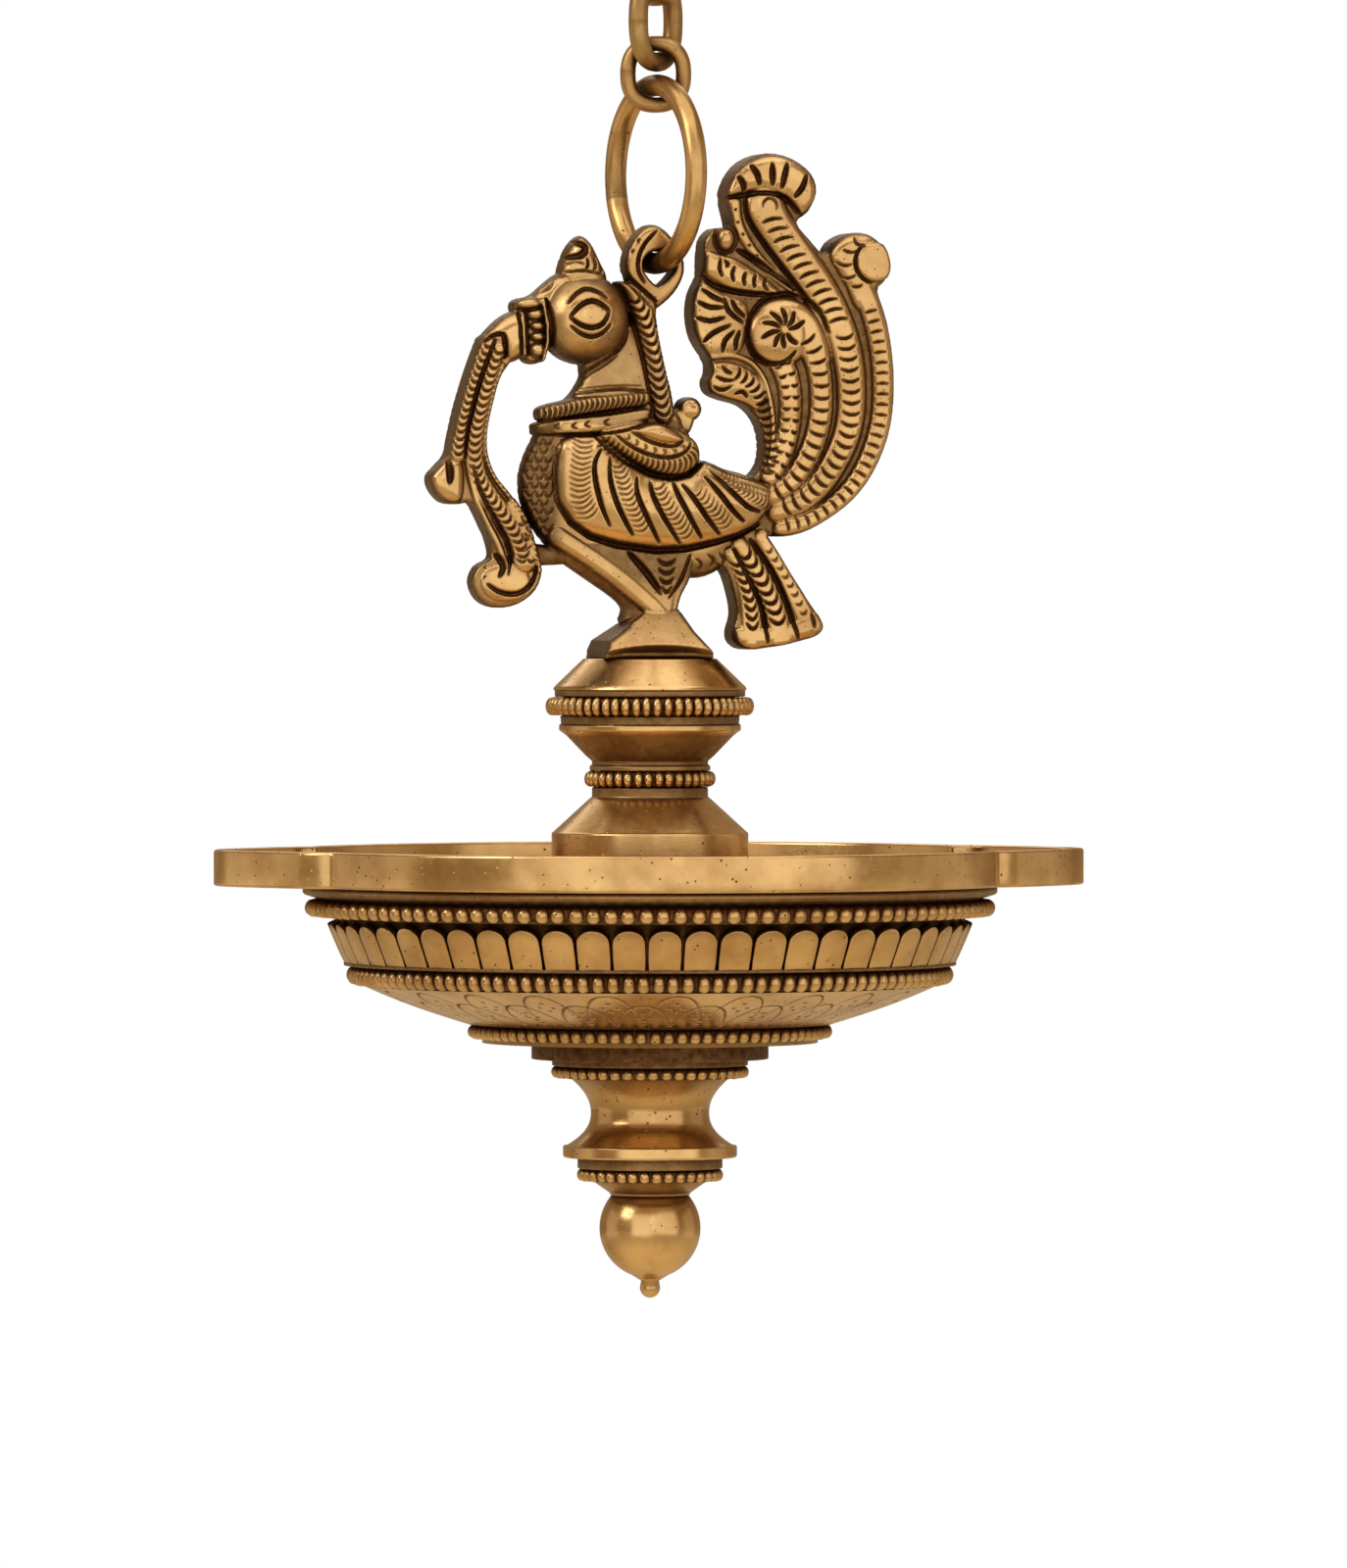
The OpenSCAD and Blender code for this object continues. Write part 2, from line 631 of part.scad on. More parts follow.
module bird() {
    color(cast_brass)
        lamp_part(seat_z, bird_turn)
            difference() {
                union() {
                    bird_tail();
                    bird_head();
                    bird_trunk();
                    bird_foot();
                    translate([lug_u, 0, lug_v])
                        slab(lug_points, lug_t);
                }
                lug_bore();
                translate([0, 0, -past])
                    cylinder(r = thread_r, h = socket_depth + past);
            }
}

// Sets a piece of the stack at a height over the dish's rim
module lamp_part(z = 0, turn = 0) {
    translate(lamp_at + [0, 0, z])
        rotate([0, 0, turn])
            children();
}

// A turned piece from its outline, bored for the tie rod
module turned(points, r = bore_r) {
    color(turned_brass)
        lamp_part()
            rotate_extrude()
                polygon(concat([[r, points[0][1]]], points, [[r, points[len(points) - 1][1]]]));
}

// A beaded ring that lies in a groove whose upper edge is at z
module bead_ring(r, h, z) {
    color(cast_brass)
        lamp_part(z - bead_gap - h / 2)
            rotate_extrude()
                translate([r - h / 2, 0])
                    circle(d = h);
}

function bead_seat(r, h) = r - h - bead_gap;

module tie_rod() {
    top_z = seat_z + socket_depth - thread_gap;
    low_z = drop_end_z - ball_thread + thread_gap;
    color(steel)
        lamp_part(low_z)
            cylinder(d = rod_d, h = top_z - low_z);
}

module stem_cap() {
    step_r = cap_r - cap_lip;
    turned([[step_r, cap_z], [step_r, cap_z + cap_step_h], [cap_r, cap_z + cap_step_h], [cap_top_r, seat_z]]);
}

module stem_bead_ring() {
    bead_ring(stem_bead_r, stem_bead_h, cap_z);
}

module stem_neck() {
    seat_low_r = bead_seat(neck_bead_r, neck_bead_h);
    seat_high_r = bead_seat(stem_bead_r, stem_bead_h);
    turned([
        [seat_low_r, foot_top_z], [seat_low_r, neck_bead_top_z], [neck_r, neck_bead_top_z],
        [neck_r, cone_low_z], [neck_top_r - arris, cone_top_z], [neck_top_r, cone_top_z],
        [neck_top_r, neck_top_z], [seat_high_r, neck_top_z], [seat_high_r, cap_z]
    ]);
}

module neck_bead_ring() {
    bead_ring(neck_bead_r, neck_bead_h, neck_bead_top_z);
}

module stem_foot() {
    turned([
        [foot_r, seal_z], [foot_r, foot_rise], [neck_r, foot_rise + foot_cone_h], [neck_r, foot_top_z]
    ]);
}

module oil_seal() {
    color(fibre)
        lamp_part(floor_z)
            difference() {
                cylinder(r = seal_r, h = seal_t);
                translate([0, 0, -past])
                    cylinder(r = bore_r, h = seal_t + 2 * past);
            }
}

// Plan of the dish, drawn in by a margin from its outside edge
module dish_plan(margin) {
    side = open_curve(spout_points);
    circle(r = dish_r - margin, $fn = 4 * $fn);
    for (s = [0, 180])
        rotate([0, 0, s])
            polygon(mirrored([
                for (i = [0 : len(side) - 1])
                    i == len(side) - 1 ? side[i] - [margin, 0] : side[i] + margin * inward(side, i)
            ]));
}

function inward(p, i) = i == 0 ? [0, -1] : -side_of(p, i);

module oil_dish() {
    well_r = dish_r - rim_wall - well_ledge;
    pad_r = foot_r + pad_margin;
    spigot_r = bowl_top_r - bowl_wall - bowl_gap;
    color(turned_brass)
        lamp_part()
            difference() {
                union() {
                    translate([0, 0, -rim_h])
                        linear_extrude(height = rim_h)
                            dish_plan(0);
                    rotate_extrude()
                        polygon([
                            [0, -rim_h], [spigot_r, -rim_h], [pad_r, dish_under_z], [0, dish_under_z]
                        ]);
                }
                translate([0, 0, -edge_depth])
                    linear_extrude(height = edge_depth + past)
                        dish_plan(rim_wall);
                rotate_extrude()
                    polygon([[0, 0], [well_r, 0], [well_r, -edge_depth], [pad_r, floor_z], [0, floor_z]]);
                translate([0, 0, dish_under_z - past])
                    cylinder(r = bore_r, h = floor_t + 2 * past);
            }
}

module clamp_washer() {
    color(steel)
        lamp_part(nut_z)
            difference() {
                cylinder(r = washer_r, h = washer_t);
                translate([0, 0, -past])
                    cylinder(r = bore_r, h = washer_t + 2 * past);
            }
}

module clamp_nut() {
    color(steel)
        lamp_part(nut_z - nut_h)
            difference() {
                cylinder(r = nut_af / sqrt(3), h = nut_h, $fn = 6);
                translate([0, 0, -past])
                    cylinder(r = thread_r, h = nut_h + 2 * past);
            }
}

// Side of the lotus bowl from its top edge down to its foot, drawn in by a margin
function bowl_side(margin) =
    let (base_r = base_bead_r - arris)
    concat(
        [
            [bowl_top_r - margin, bowl_top_z], [bowl_top_r - margin, bowl_top_z - bowl_lip_h / 2],
            [bead_seat(rim_bead_r, rim_bead_h) - margin, rim_bead_z],
            [bead_seat(rim_bead_r, rim_bead_h) - margin, petal_z],
            [petal_top_r - margin, petal_z], [petal_low_r - margin, petal_low_z],
            [bead_seat(petal_bead_r, petal_bead_h) - margin, petal_low_z],
            [bead_seat(petal_bead_r, petal_bead_h) - margin, under_z]
        ],
        [
            for (i = [0 : under_steps])
                let (t = i / under_steps, cone_r = under_r + (base_r - under_r) * t)
                [cone_r + under_swell * sin(180 * t) - margin, under_z - under_h * t]
        ],
        [[bead_seat(base_bead_r, base_bead_h) - margin, base_z]]
    );

module lotus_bowl() {
    foot_seat_r = bead_seat(base_bead_r, base_bead_h);
    inner = bowl_side(bowl_wall);
    lift = [0, bowl_wall];
    inside = [for (i = [len(inner) - 1 : -1 : 0]) inner[i] + (inner[i][1] < under_z + past ? lift : [0, 0])];
    foot = [[foot_seat_r, bowl_base_z], [bore_r, bowl_base_z], [bore_r, base_z + bowl_wall]];
    turned(concat(bowl_side(0), foot, inside), bowl_top_r - bowl_wall);
}

module rim_bead_ring() {
    bead_ring(rim_bead_r, rim_bead_h, rim_bead_z);
}

module petal_bead_ring() {
    bead_ring(petal_bead_r, petal_bead_h, petal_low_z);
}

module base_bead_ring() {
    bead_ring(base_bead_r, base_bead_h, base_z);
}

// Side of the spool's waist: two arcs that meet at its narrowest
function waist_side() = [
    for (i = [0 : waist_steps])
        let (t = i / waist_steps, top_r = bead_seat(collar_bead_r, collar_bead_h) - waist_inset)
        [
            t < 0.5 ? waist_r + (top_r - waist_r) * pow(1 - 2 * t, waist_top_power)
                : waist_r + (flange_r - arris - waist_r) * pow(2 * t - 1, waist_low_power),
            waist_z - waist_h * t
        ]
];

module drop_spool() {
    step_r = collar_bead_r - disc_step_inset;
    seat_r = bead_seat(collar_bead_r, collar_bead_h);
    turned(concat(
        [
            [disc_r, bowl_base_z], [disc_r, disc_low_z], [step_r, disc_low_z], [step_r, collar_bead_z],
            [seat_r, collar_bead_z], [seat_r, waist_z]
        ],
        waist_side(), [[flange_r, flange_z], [flange_r, collar_z]]
    ));
}

module collar_bead_ring() {
    bead_ring(collar_bead_r, collar_bead_h, collar_bead_z);
}

module drop_collar() {
    seat_r = bead_seat(drop_bead_r, drop_bead_h);
    turned([
        [collar_r, collar_z], [collar_r, drop_bead_z], [seat_r, drop_bead_z], [seat_r, drop_cone_z],
        [ball_neck_r, drop_end_z]
    ]);
}

module drop_bead_ring() {
    bead_ring(drop_bead_r, drop_bead_h, drop_bead_z);
}

module ball_finial() {
    color(cast_brass)
        lamp_part(ball_z)
            difference() {
                union() {
                    sphere(d = ball_d);
                    translate([0, 0, -ball_d / 2 - tip_len + tip_r])
                        cylinder(r = tip_r, h = tip_len);
                    translate([0, 0, -ball_d / 2 - tip_len + tip_r])
                        sphere(r = tip_r);
                }
                translate([-ball_d / 2, -ball_d / 2, ball_drop])
                    cube([ball_d, ball_d, ball_d]);
                translate([0, 0, ball_drop - ball_thread])
                    cylinder(r = thread_r, h = ball_thread + past);
            }
}

ceiling_hook();
chain_ring(ring_1_z, cross_turn);  // chain_ring_1
chain_link(link_1_z);  // chain_link_1
chain_ring(ring_2_z, cross_turn);  // chain_ring_2
chain_link(link_2_z);  // chain_link_2
chain_ring(ring_3_z, ring_turn);  // chain_ring_3
suspension_ring();
bird();
tie_rod();
stem_cap();
stem_bead_ring();
stem_neck();
neck_bead_ring();
stem_foot();
oil_seal();
oil_dish();
clamp_washer();
clamp_nut();
lotus_bowl();
rim_bead_ring();
petal_bead_ring();
base_bead_ring();
drop_spool();
collar_bead_ring();
drop_collar();
drop_bead_ring();
ball_finial();
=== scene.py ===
"""Looks of a hanging brass oil lamp.

A chain carries a cast bird on a turned stem, and a two-spouted dish over a lotus bowl.

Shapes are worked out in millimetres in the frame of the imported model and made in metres.
"""
import math

import bpy
import numpy as np
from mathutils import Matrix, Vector, kdtree


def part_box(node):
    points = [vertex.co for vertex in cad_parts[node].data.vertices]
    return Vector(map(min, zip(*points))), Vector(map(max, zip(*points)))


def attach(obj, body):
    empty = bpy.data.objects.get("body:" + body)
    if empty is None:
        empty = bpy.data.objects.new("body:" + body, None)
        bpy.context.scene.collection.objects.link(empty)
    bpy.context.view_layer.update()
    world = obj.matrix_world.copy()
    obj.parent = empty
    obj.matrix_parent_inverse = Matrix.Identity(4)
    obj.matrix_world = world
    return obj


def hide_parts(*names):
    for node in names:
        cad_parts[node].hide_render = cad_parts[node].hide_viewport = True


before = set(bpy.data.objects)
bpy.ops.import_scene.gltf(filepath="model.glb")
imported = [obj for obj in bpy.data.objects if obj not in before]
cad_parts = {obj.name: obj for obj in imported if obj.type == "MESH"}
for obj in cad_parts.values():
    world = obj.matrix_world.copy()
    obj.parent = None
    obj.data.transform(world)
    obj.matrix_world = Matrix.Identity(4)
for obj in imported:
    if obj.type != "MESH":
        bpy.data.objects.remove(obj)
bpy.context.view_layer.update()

MM = 0.001
rng = np.random.default_rng(7)


# Where the lamp stands in the frame, in millimetres
def node_box(node):
    low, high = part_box(node)
    return np.array(low) / MM, np.array(high) / MM


def lamp_axis():
    low, high = node_box("stem_cap")
    return (low[:2] + high[:2]) / 2


AXIS = lamp_axis()
RIM_Z = node_box("oil_dish")[1][2]
SEAT_Z = node_box("stem_cap")[1][2]
BIRD_TURN = math.radians(6)
BORE_R = 4.25


# Materials: sizes of their patterns in millimetres, and the colours of worn, browned and oxidised brass; the
# oxide colour also paints shade where a piece's point mark asks for it
PATCH_SIZE, MOTTLE_SIZE, SCRATCH_SIZE, FIBRE_SIZE, GRAIN_SIZE = 17, 2.2, 1.1, 3, 0.8
CORNER_REACH, SHELTER_REACH = 4, 18
MOTTLE_DEEP, SCRATCH_DEEP, PIT_DEEP, GRAIN_DEEP = 0.08, 0.05, 0.2, 0.1
WORN_BRASS, BROWN_BRASS, BRASS_OXIDE_AND_SHADE = "#DFBA80", "#8C5B28", "#47280C"


def linear(hex_colour):
    """An sRGB hex colour as linear RGBA."""
    values = [int(hex_colour[i:i + 2], 16) / 255 for i in (1, 3, 5)]
    return [v / 12.92 if v <= 0.04045 else ((v + 0.055) / 1.055) ** 2.4 for v in values] + [1]


def add(tree, kind, inputs=None, **settings):
    """Adds a node, applies its settings and fills its inputs by value or by link."""
    node = tree.nodes.new("ShaderNode" + kind)
    for key, value in settings.items():
        setattr(node, key, value)
    for key, value in (inputs or {}).items():
        if isinstance(value, bpy.types.NodeSocket):
            tree.links.new(value, node.inputs[key])
        else:
            node.inputs[key].default_value = value
    return node


def per_mm(size):
    """A texture scale that repeats about once in this many millimetres."""
    return 1 / (size * MM)


def aged_metal(name, worn, body, oxide_and_shade, rough, pit_size, tool_marks, stretch=(1, 1, 1), oxide_and_painted_shade=False):
    """Metal that was polished once: bright where hands rub it, dull elsewhere and darkest in the recesses."""
    material = bpy.data.materials.new(name)
    material.use_nodes = True
    tree = material.node_tree
    shader = tree.nodes["Principled BSDF"]
    place = add(tree, "TexCoord").outputs["Object"]
    along = add(tree, "Mapping", {"Vector": place, "Scale": stretch}).outputs[0]
    patches = add(tree, "TexNoise",
                  {"Vector": place, "Scale": per_mm(PATCH_SIZE), "Detail": 4, "Roughness": 0.6})
    mottle = add(tree, "TexNoise",
                 {"Vector": place, "Scale": per_mm(MOTTLE_SIZE), "Detail": 5, "Roughness": 0.65})
    scratch = add(tree, "TexNoise", {"Vector": along, "Scale": per_mm(SCRATCH_SIZE), "Detail": 3})
    # Casting pits are 0.2 to 1 mm across, and one lies in every few millimetres of the duller patches
    cells = add(tree, "TexVoronoi", {"Vector": place, "Scale": per_mm(pit_size), "Randomness": 1})
    pits = add(tree, "MapRange", {"Value": cells.outputs["Distance"], 1: 0.07, 2: 0.15, 3: 1, 4: 0})
    rare = add(tree, "MapRange", {"Value": patches.outputs[0], 1: 0.36, 2: 0.5, 3: 0, 4: 1})
    pit = add(tree, "Math", {0: pits.outputs[0], 1: rare.outputs[0]}, operation="MULTIPLY").outputs[0]
    # Dark oxide gathers near an inner corner, and a dull patina over sheltered places
    near = add(tree, "AmbientOcclusion", {"Distance": CORNER_REACH * MM}, samples=4)
    crevice_and_shade = add(tree, "MapRange", {"Value": near.outputs["AO"], 1: 0.4, 2: 0.95, 3: 1, 4: 0}).outputs[0]
    wide = add(tree, "AmbientOcclusion", {"Distance": SHELTER_REACH * MM}, samples=3)
    sheltered = add(tree, "MapRange", {"Value": wide.outputs["AO"], 1: 0.3, 2: 0.9, 3: 1, 4: 0}).outputs[0]
    # The point mark adds oxide in cuts, grounds and stains, and painted shade on the bird's slopes, under its
    # head, on its breast and thigh, and at the top of the drop's waist
    if oxide_and_painted_shade:
        cut = add(tree, "Attribute", attribute_name="oxide_and_painted_shade").outputs["Fac"]
        crevice_and_shade = add(tree, "Math", {0: crevice_and_shade, 1: cut}, operation="MAXIMUM").outputs[0]
    broken = add(tree, "MapRange", {"Value": mottle.outputs[0], 1: 0.3, 2: 0.7, 3: 0.8, 4: 1.1}).outputs[0]
    crevice_and_shade = add(tree, "Math", {0: crevice_and_shade, 1: broken}, operation="MULTIPLY", use_clamp=True).outputs[0]
    dirt_and_shade = add(tree, "Math", {0: crevice_and_shade, 1: pit}, operation="MAXIMUM").outputs[0]
    tone = add(tree, "MapRange", {"Value": patches.outputs[0], 1: 0.38, 2: 0.72, 3: 0, 4: 0.6}).outputs[0]
    tone = add(tree, "Math", {0: tone, 1: sheltered}, operation="MAXIMUM").outputs[0]
    metal = add(tree, "MixRGB", {0: tone, 1: linear(worn), 2: linear(body)}).outputs[0]
    colour = add(tree, "MixRGB", {0: dirt_and_shade, 1: metal, 2: linear(oxide_and_shade)}).outputs[0]
    gloss = add(tree, "MapRange", {"Value": dirt_and_shade, 3: rough, 4: rough + 0.28}).outputs[0]
    uneven = add(tree, "MapRange", {"Value": mottle.outputs[0], 1: 0.3, 2: 0.7, 3: -0.04, 4: 0.05}).outputs[0]
    gloss = add(tree, "Math", {0: gloss, 1: uneven}, operation="ADD").outputs[0]
    metallic = add(tree, "MapRange", {"Value": dirt_and_shade, 3: 1, 4: 0.88}).outputs[0]
    fine = add(tree, "Bump", {"Height": mottle.outputs[0], "Strength": 0.12, "Distance": MOTTLE_DEEP * MM})
    drawn = add(tree, "Bump", {"Height": scratch.outputs[0], "Strength": tool_marks,
                               "Distance": SCRATCH_DEEP * MM, "Normal": fine.outputs[0]})
    pitted = add(tree, "Bump", {"Height": pit, "Strength": 0.6, "Distance": PIT_DEEP * MM,
                                "Normal": drawn.outputs[0]}, invert=True)
    for socket, source in (("Base Color", colour), ("Roughness", gloss), ("Metallic", metallic),
                           ("Normal", pitted.outputs[0])):
        tree.links.new(source, shader.inputs[socket])
    return material


def cast_brass():
    """Sand-cast brass, chased and polished on the high places."""
    return aged_metal("cast_brass_polished", WORN_BRASS, BROWN_BRASS, BRASS_OXIDE_AND_SHADE, 0.22, 1.6, 0.1,
                      oxide_and_painted_shade=True)


def cast_side_brass():
    """Sand-cast brass left as it came from the mould: dull grey-brown."""
    return aged_metal("cast_brass_raw", "#6E573D", "#54402B", "#26190F", 0.46, 2.4, 0.2)


def turned_brass():
    """Lathe-turned brass, with fine marks that run round the axis."""
    return aged_metal("turned_brass_satin", WORN_BRASS, BROWN_BRASS, BRASS_OXIDE_AND_SHADE, 0.22, 2.4, 0.2,
                      (0.25, 0.25, 2.5), oxide_and_painted_shade=True)


def beaded_brass():
    """Cast beads, rubbed bright on top with oxide between them."""
    return aged_metal("beaded_brass_rubbed", WORN_BRASS, BROWN_BRASS, BRASS_OXIDE_AND_SHADE, 0.22, 2.4, 0.1,
                      oxide_and_painted_shade=True)


def drawn_brass():
    """Drawn brass wire, browner than the castings, with fine marks of the drawing."""
    return aged_metal("drawn_brass_wire", "#D4AE72", "#825326", BRASS_OXIDE_AND_SHADE, 0.3, 3.4, 0.2, oxide_and_painted_shade=True)


def plain_steel():
    """Plain drawn steel of the hidden fixings, grey with a light bloom of rust."""
    return aged_metal("drawn_steel_plain", "#9A9A96", "#7D7B77", "#4A3A2E", 0.4, 4.0, 0.1)


def oiled_leather():
    """Leather washer soaked in lamp oil: near black, with a soft shine."""
    material = bpy.data.materials.new("leather_oiled")
    material.use_nodes = True
    tree = material.node_tree
    shader = tree.nodes["Principled BSDF"]
    shader.inputs["Roughness"].default_value = 0.45
    place = add(tree, "TexCoord").outputs["Object"]
    grain = add(tree, "TexVoronoi", {"Vector": place, "Scale": per_mm(GRAIN_SIZE)}).outputs["Distance"]
    colour = add(tree, "MixRGB", {0: grain, 1: linear("#2B1C12"), 2: linear("#4A3220")})
    bump = add(tree, "Bump", {"Height": grain, "Strength": 0.4, "Distance": GRAIN_DEEP * MM})
    tree.links.new(colour.outputs[0], shader.inputs["Base Color"])
    tree.links.new(bump.outputs[0], shader.inputs["Normal"])
    return material


CAST = cast_brass()
CAST_SIDE = cast_side_brass()
TURNED = turned_brass()
BEADED = beaded_brass()
DRAWN = drawn_brass()
STEEL = plain_steel()
LEATHER = oiled_leather()


# Meshes
def add_piece(name, points, faces, body, node, slot, *materials):
    """Makes a piece from points in millimetres that rides on a body and stands for a node."""
    mesh = bpy.data.meshes.new(name)
    mesh.from_pydata((np.asarray(points) * MM).tolist(), [], [list(f) for f in faces])
    mesh.polygons.foreach_set("use_smooth", np.ones(len(mesh.polygons), bool))
    for material in materials:
        mesh.materials.append(material)
    mesh.update()
    piece = bpy.data.objects.new(name, mesh)
    bpy.context.scene.collection.objects.link(piece)
    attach(piece, body)
    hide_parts(node)
    return piece


class Shape:
    """Points and faces gathered from several grids and shells."""

    def __init__(self):
        self.points = []
        self.faces = []
        self.count = 0

    def take(self, points, faces):
        self.points.append(np.asarray(points, float))
        self.faces.append(np.asarray(faces) + self.count)
        self.count += len(points)

    def all_faces(self):
        return [f for group in self.faces for f in group.tolist()]

    def all_points(self):
        return np.concatenate(self.points)


def grid_faces(rows, columns, wrap_rows, wrap_columns):
    """Quads over a grid of points, joined round where asked."""
    i = np.arange(rows if wrap_rows else rows - 1)
    j = np.arange(columns if wrap_columns else columns - 1)
    i, j = (a.ravel() for a in np.meshgrid(i, j, indexing="ij"))
    down, right = (i + 1) % rows, (j + 1) % columns
    return np.stack([i * columns + j, i * columns + right, down * columns + right, down * columns + j], 1)


def spline(points, steps=4, closed=False):
    """A smooth curve through given points."""
    p = np.asarray(points, float)
    n = len(p)
    spans = n if closed else n - 1
    at = (lambda k: p[k % n]) if closed else (lambda k: p[min(max(k, 0), n - 1)])
    curve = []
    for i in range(spans):
        a, b, c, d = at(i - 1), at(i), at(i + 1), at(i + 2)
        for t in np.arange(steps) / steps:
            curve.append((2 * b + (c - a) * t + (2 * a - 5 * b + 4 * c - d) * t ** 2
                          + (3 * b - 3 * c + d - a) * t ** 3) / 2)
    return np.array(curve if closed else curve + [p[-1]])


def rounded(outline, radius, steps=4, hold=0.25):
    """A closed outline with its corners rounded and a point held close to each side of the rounding."""
    p = np.asarray(outline, float)
    result = []
    for i in range(len(p)):
        back, ahead = p[i - 1] - p[i], p[(i + 1) % len(p)] - p[i]
        far_back, far_ahead = np.linalg.norm(back[:2]), np.linalg.norm(ahead[:2])
        reach = min(radius, 0.4 * far_back, 0.4 * far_ahead)
        start, end = p[i] + back / far_back * reach, p[i] + ahead / far_ahead * reach
        result.append(start + back / far_back * min(hold, 0.08 * far_back))
        for t in np.arange(steps + 1) / steps:
            result.append((1 - t) ** 2 * start + 2 * t * (1 - t) * p[i] + t ** 2 * end)
        result.append(end + ahead / far_ahead * min(hold, 0.08 * far_ahead))
    return np.array(result)


def lathe(outline, segments=192):
    """A ring-shaped solid from a closed outline of radius and height."""
    p = np.asarray(outline, float)
    turn = np.linspace(0, 2 * math.pi, segments, endpoint=False)
    x = AXIS[0] + p[:, :1] * np.cos(turn)
    y = AXIS[1] + p[:, :1] * np.sin(turn)
    z = np.repeat(p[:, 1:2], segments, 1)
    return np.stack([x, y, z], 2).reshape(-1, 3), grid_faces(len(p), segments, True, True)


def mark_oxide_and_shade(piece, share):
    """Keeps the share of oxide and painted shade at each point of a piece for its material."""
    mark = piece.data.attributes.new("oxide_and_painted_shade", "FLOAT", "POINT")
    mark.data.foreach_set("value", np.asarray(share, np.float32).ravel())


def turned_piece(node, outline, edge=0.45):
    """A turned piece of the stack: radius, height and share of oxide and painted shade from its lower to its
    upper end.
    """
    outer = [(*p, 0)[:3] for p in outline]
    closed = [(BORE_R, outer[0][1], 0)] + outer + [(BORE_R, outer[-1][1], 0)]
    profile = rounded(closed, edge)
    points, faces = lathe(profile)
    piece = add_piece("turned_" + node, points, faces, "lamp", node, "turned_brass", TURNED)
    mark_oxide_and_shade(piece, np.repeat(profile[:, 2], len(points) // len(profile)))


# Stem and drop
def heights(node):
    low, high = node_box(node)
    return low[2], high[2]


def widest(node):
    low, high = node_box(node)
    return (high[0] - low[0]) / 2


def make_stem_cap():
    low, high = heights("stem_cap")
    top_r, step_h, lip = 17.0, 1.6, 0.45
    wide = widest("stem_cap")
    turned_piece("stem_cap",
                 [(wide - lip, low, 0.8), (wide - lip, low + step_h, 0.6), (wide, low + step_h + 0.25),
                  (wide - 0.4, low + step_h + 1.0), (top_r + 0.5, high - 0.5), (top_r, high)])


def make_stem_neck():
    low, high = heights("stem_neck")
    neck_r, seat_r, flange_h, cone_h, neck_h = 14.8, 12.75, 4.0, 7.6, 2.4
    wide = widest("stem_neck")
    seat_h = heights("stem_bead_ring")[1] - heights("stem_bead_ring")[0] + 0.1
    flange_top = high - seat_h
    cone_top = flange_top - flange_h
    cone_low = cone_top - cone_h
    turned_piece("stem_neck",
                 [(seat_r, low, 0.8), (seat_r, cone_low - neck_h, 0.8),
                  (neck_r + 0.6, cone_low - neck_h, 0.6), (neck_r + 0.6, cone_low - 1.2, 0.5),
                  (neck_r, cone_low - 0.9, 0.7), (neck_r, cone_low, 0.7),
                  (neck_r + 1.5, cone_low + 1.3, 0.8), (wide - 1.8, cone_top - 1.0, 0.65),
                  (wide - 0.4, cone_top, 0.1), (wide, cone_top + 0.3), (wide, cone_top + 1.6),
                  (wide - 0.5, cone_top + 1.9, 0.7), (wide - 0.3, flange_top, 0.8),
                  (wide - 1.5, flange_top, 0.8), (wide - 1.5, high, 0.8)], 0.3)


def make_stem_foot():
    low, high = heights("stem_foot")
    neck_r, neck_h, cone_h = 14.8, 3.0, 8.75
    wide = widest("stem_foot")
    cone_low = high - neck_h - cone_h
    turned_piece("stem_foot",
                 [(wide, low), (wide, cone_low), (wide - 0.5, cone_low + 0.4),
                  (neck_r + 0.7, high - neck_h), (neck_r, high - neck_h + 0.5, 0.6), (neck_r, high, 0.75)])


def make_drop_spool():
    low, high = heights("drop_spool")
    disc_h, step_h, step_r, seat_r, waist_r, flange_h = 4.2, 1.7, 25.0, 22.1, 15.1, 3.0
    wide, flange_r = widest("drop_spool"), 22.2
    bead_h = heights("collar_bead_ring")[1] - heights("collar_bead_ring")[0] + 0.1
    waist_top = high - disc_h - step_h - bead_h
    waist_low = low + flange_h
    top_r = seat_r - 1.8
    waist = []
    for t in np.linspace(1, 0, 25):
        if t < 0.5:
            swell = (top_r - waist_r) * (1 - 2 * t) ** 2
        else:
            swell = (flange_r - 0.8 - waist_r) * (2 * t - 1) ** 2.4
        # Painted shade: the top of the waist, under the bead ring and disc, is darkened towards the oxide
        # colour
        shade = 0.5 * (1 - 4 * t) if t < 0.25 else 0
        waist.append((waist_r + swell, waist_top + (waist_low - waist_top) * t, shade))
    flange = [(flange_r - 0.3, low), (flange_r, low + 0.4), (flange_r, waist_low)]
    disc = [(seat_r, waist_top, 0.8), (seat_r, waist_top + bead_h, 0.8), (step_r, waist_top + bead_h, 0.8),
            (step_r, high - disc_h, 0.8), (wide, high - disc_h, 0.9), (wide, high, 1)]
    turned_piece("drop_spool", flange + waist + disc, 0.3)


def make_drop_collar():
    low, high = heights("drop_collar")
    collar_r, seat_r, collar_h, cone_h = 18.5, 15.55, 2.8, 3.75
    end_r = 9.96
    turned_piece("drop_collar",
                 [(end_r, low), (end_r + 0.4, low + 0.8), (seat_r - 1, low + cone_h, 0.5),
                  (seat_r, low + cone_h, 0.8), (seat_r, high - collar_h, 0.8),
                  (collar_r, high - collar_h, 0.6), (collar_r, high, 0.8)], 0.3)


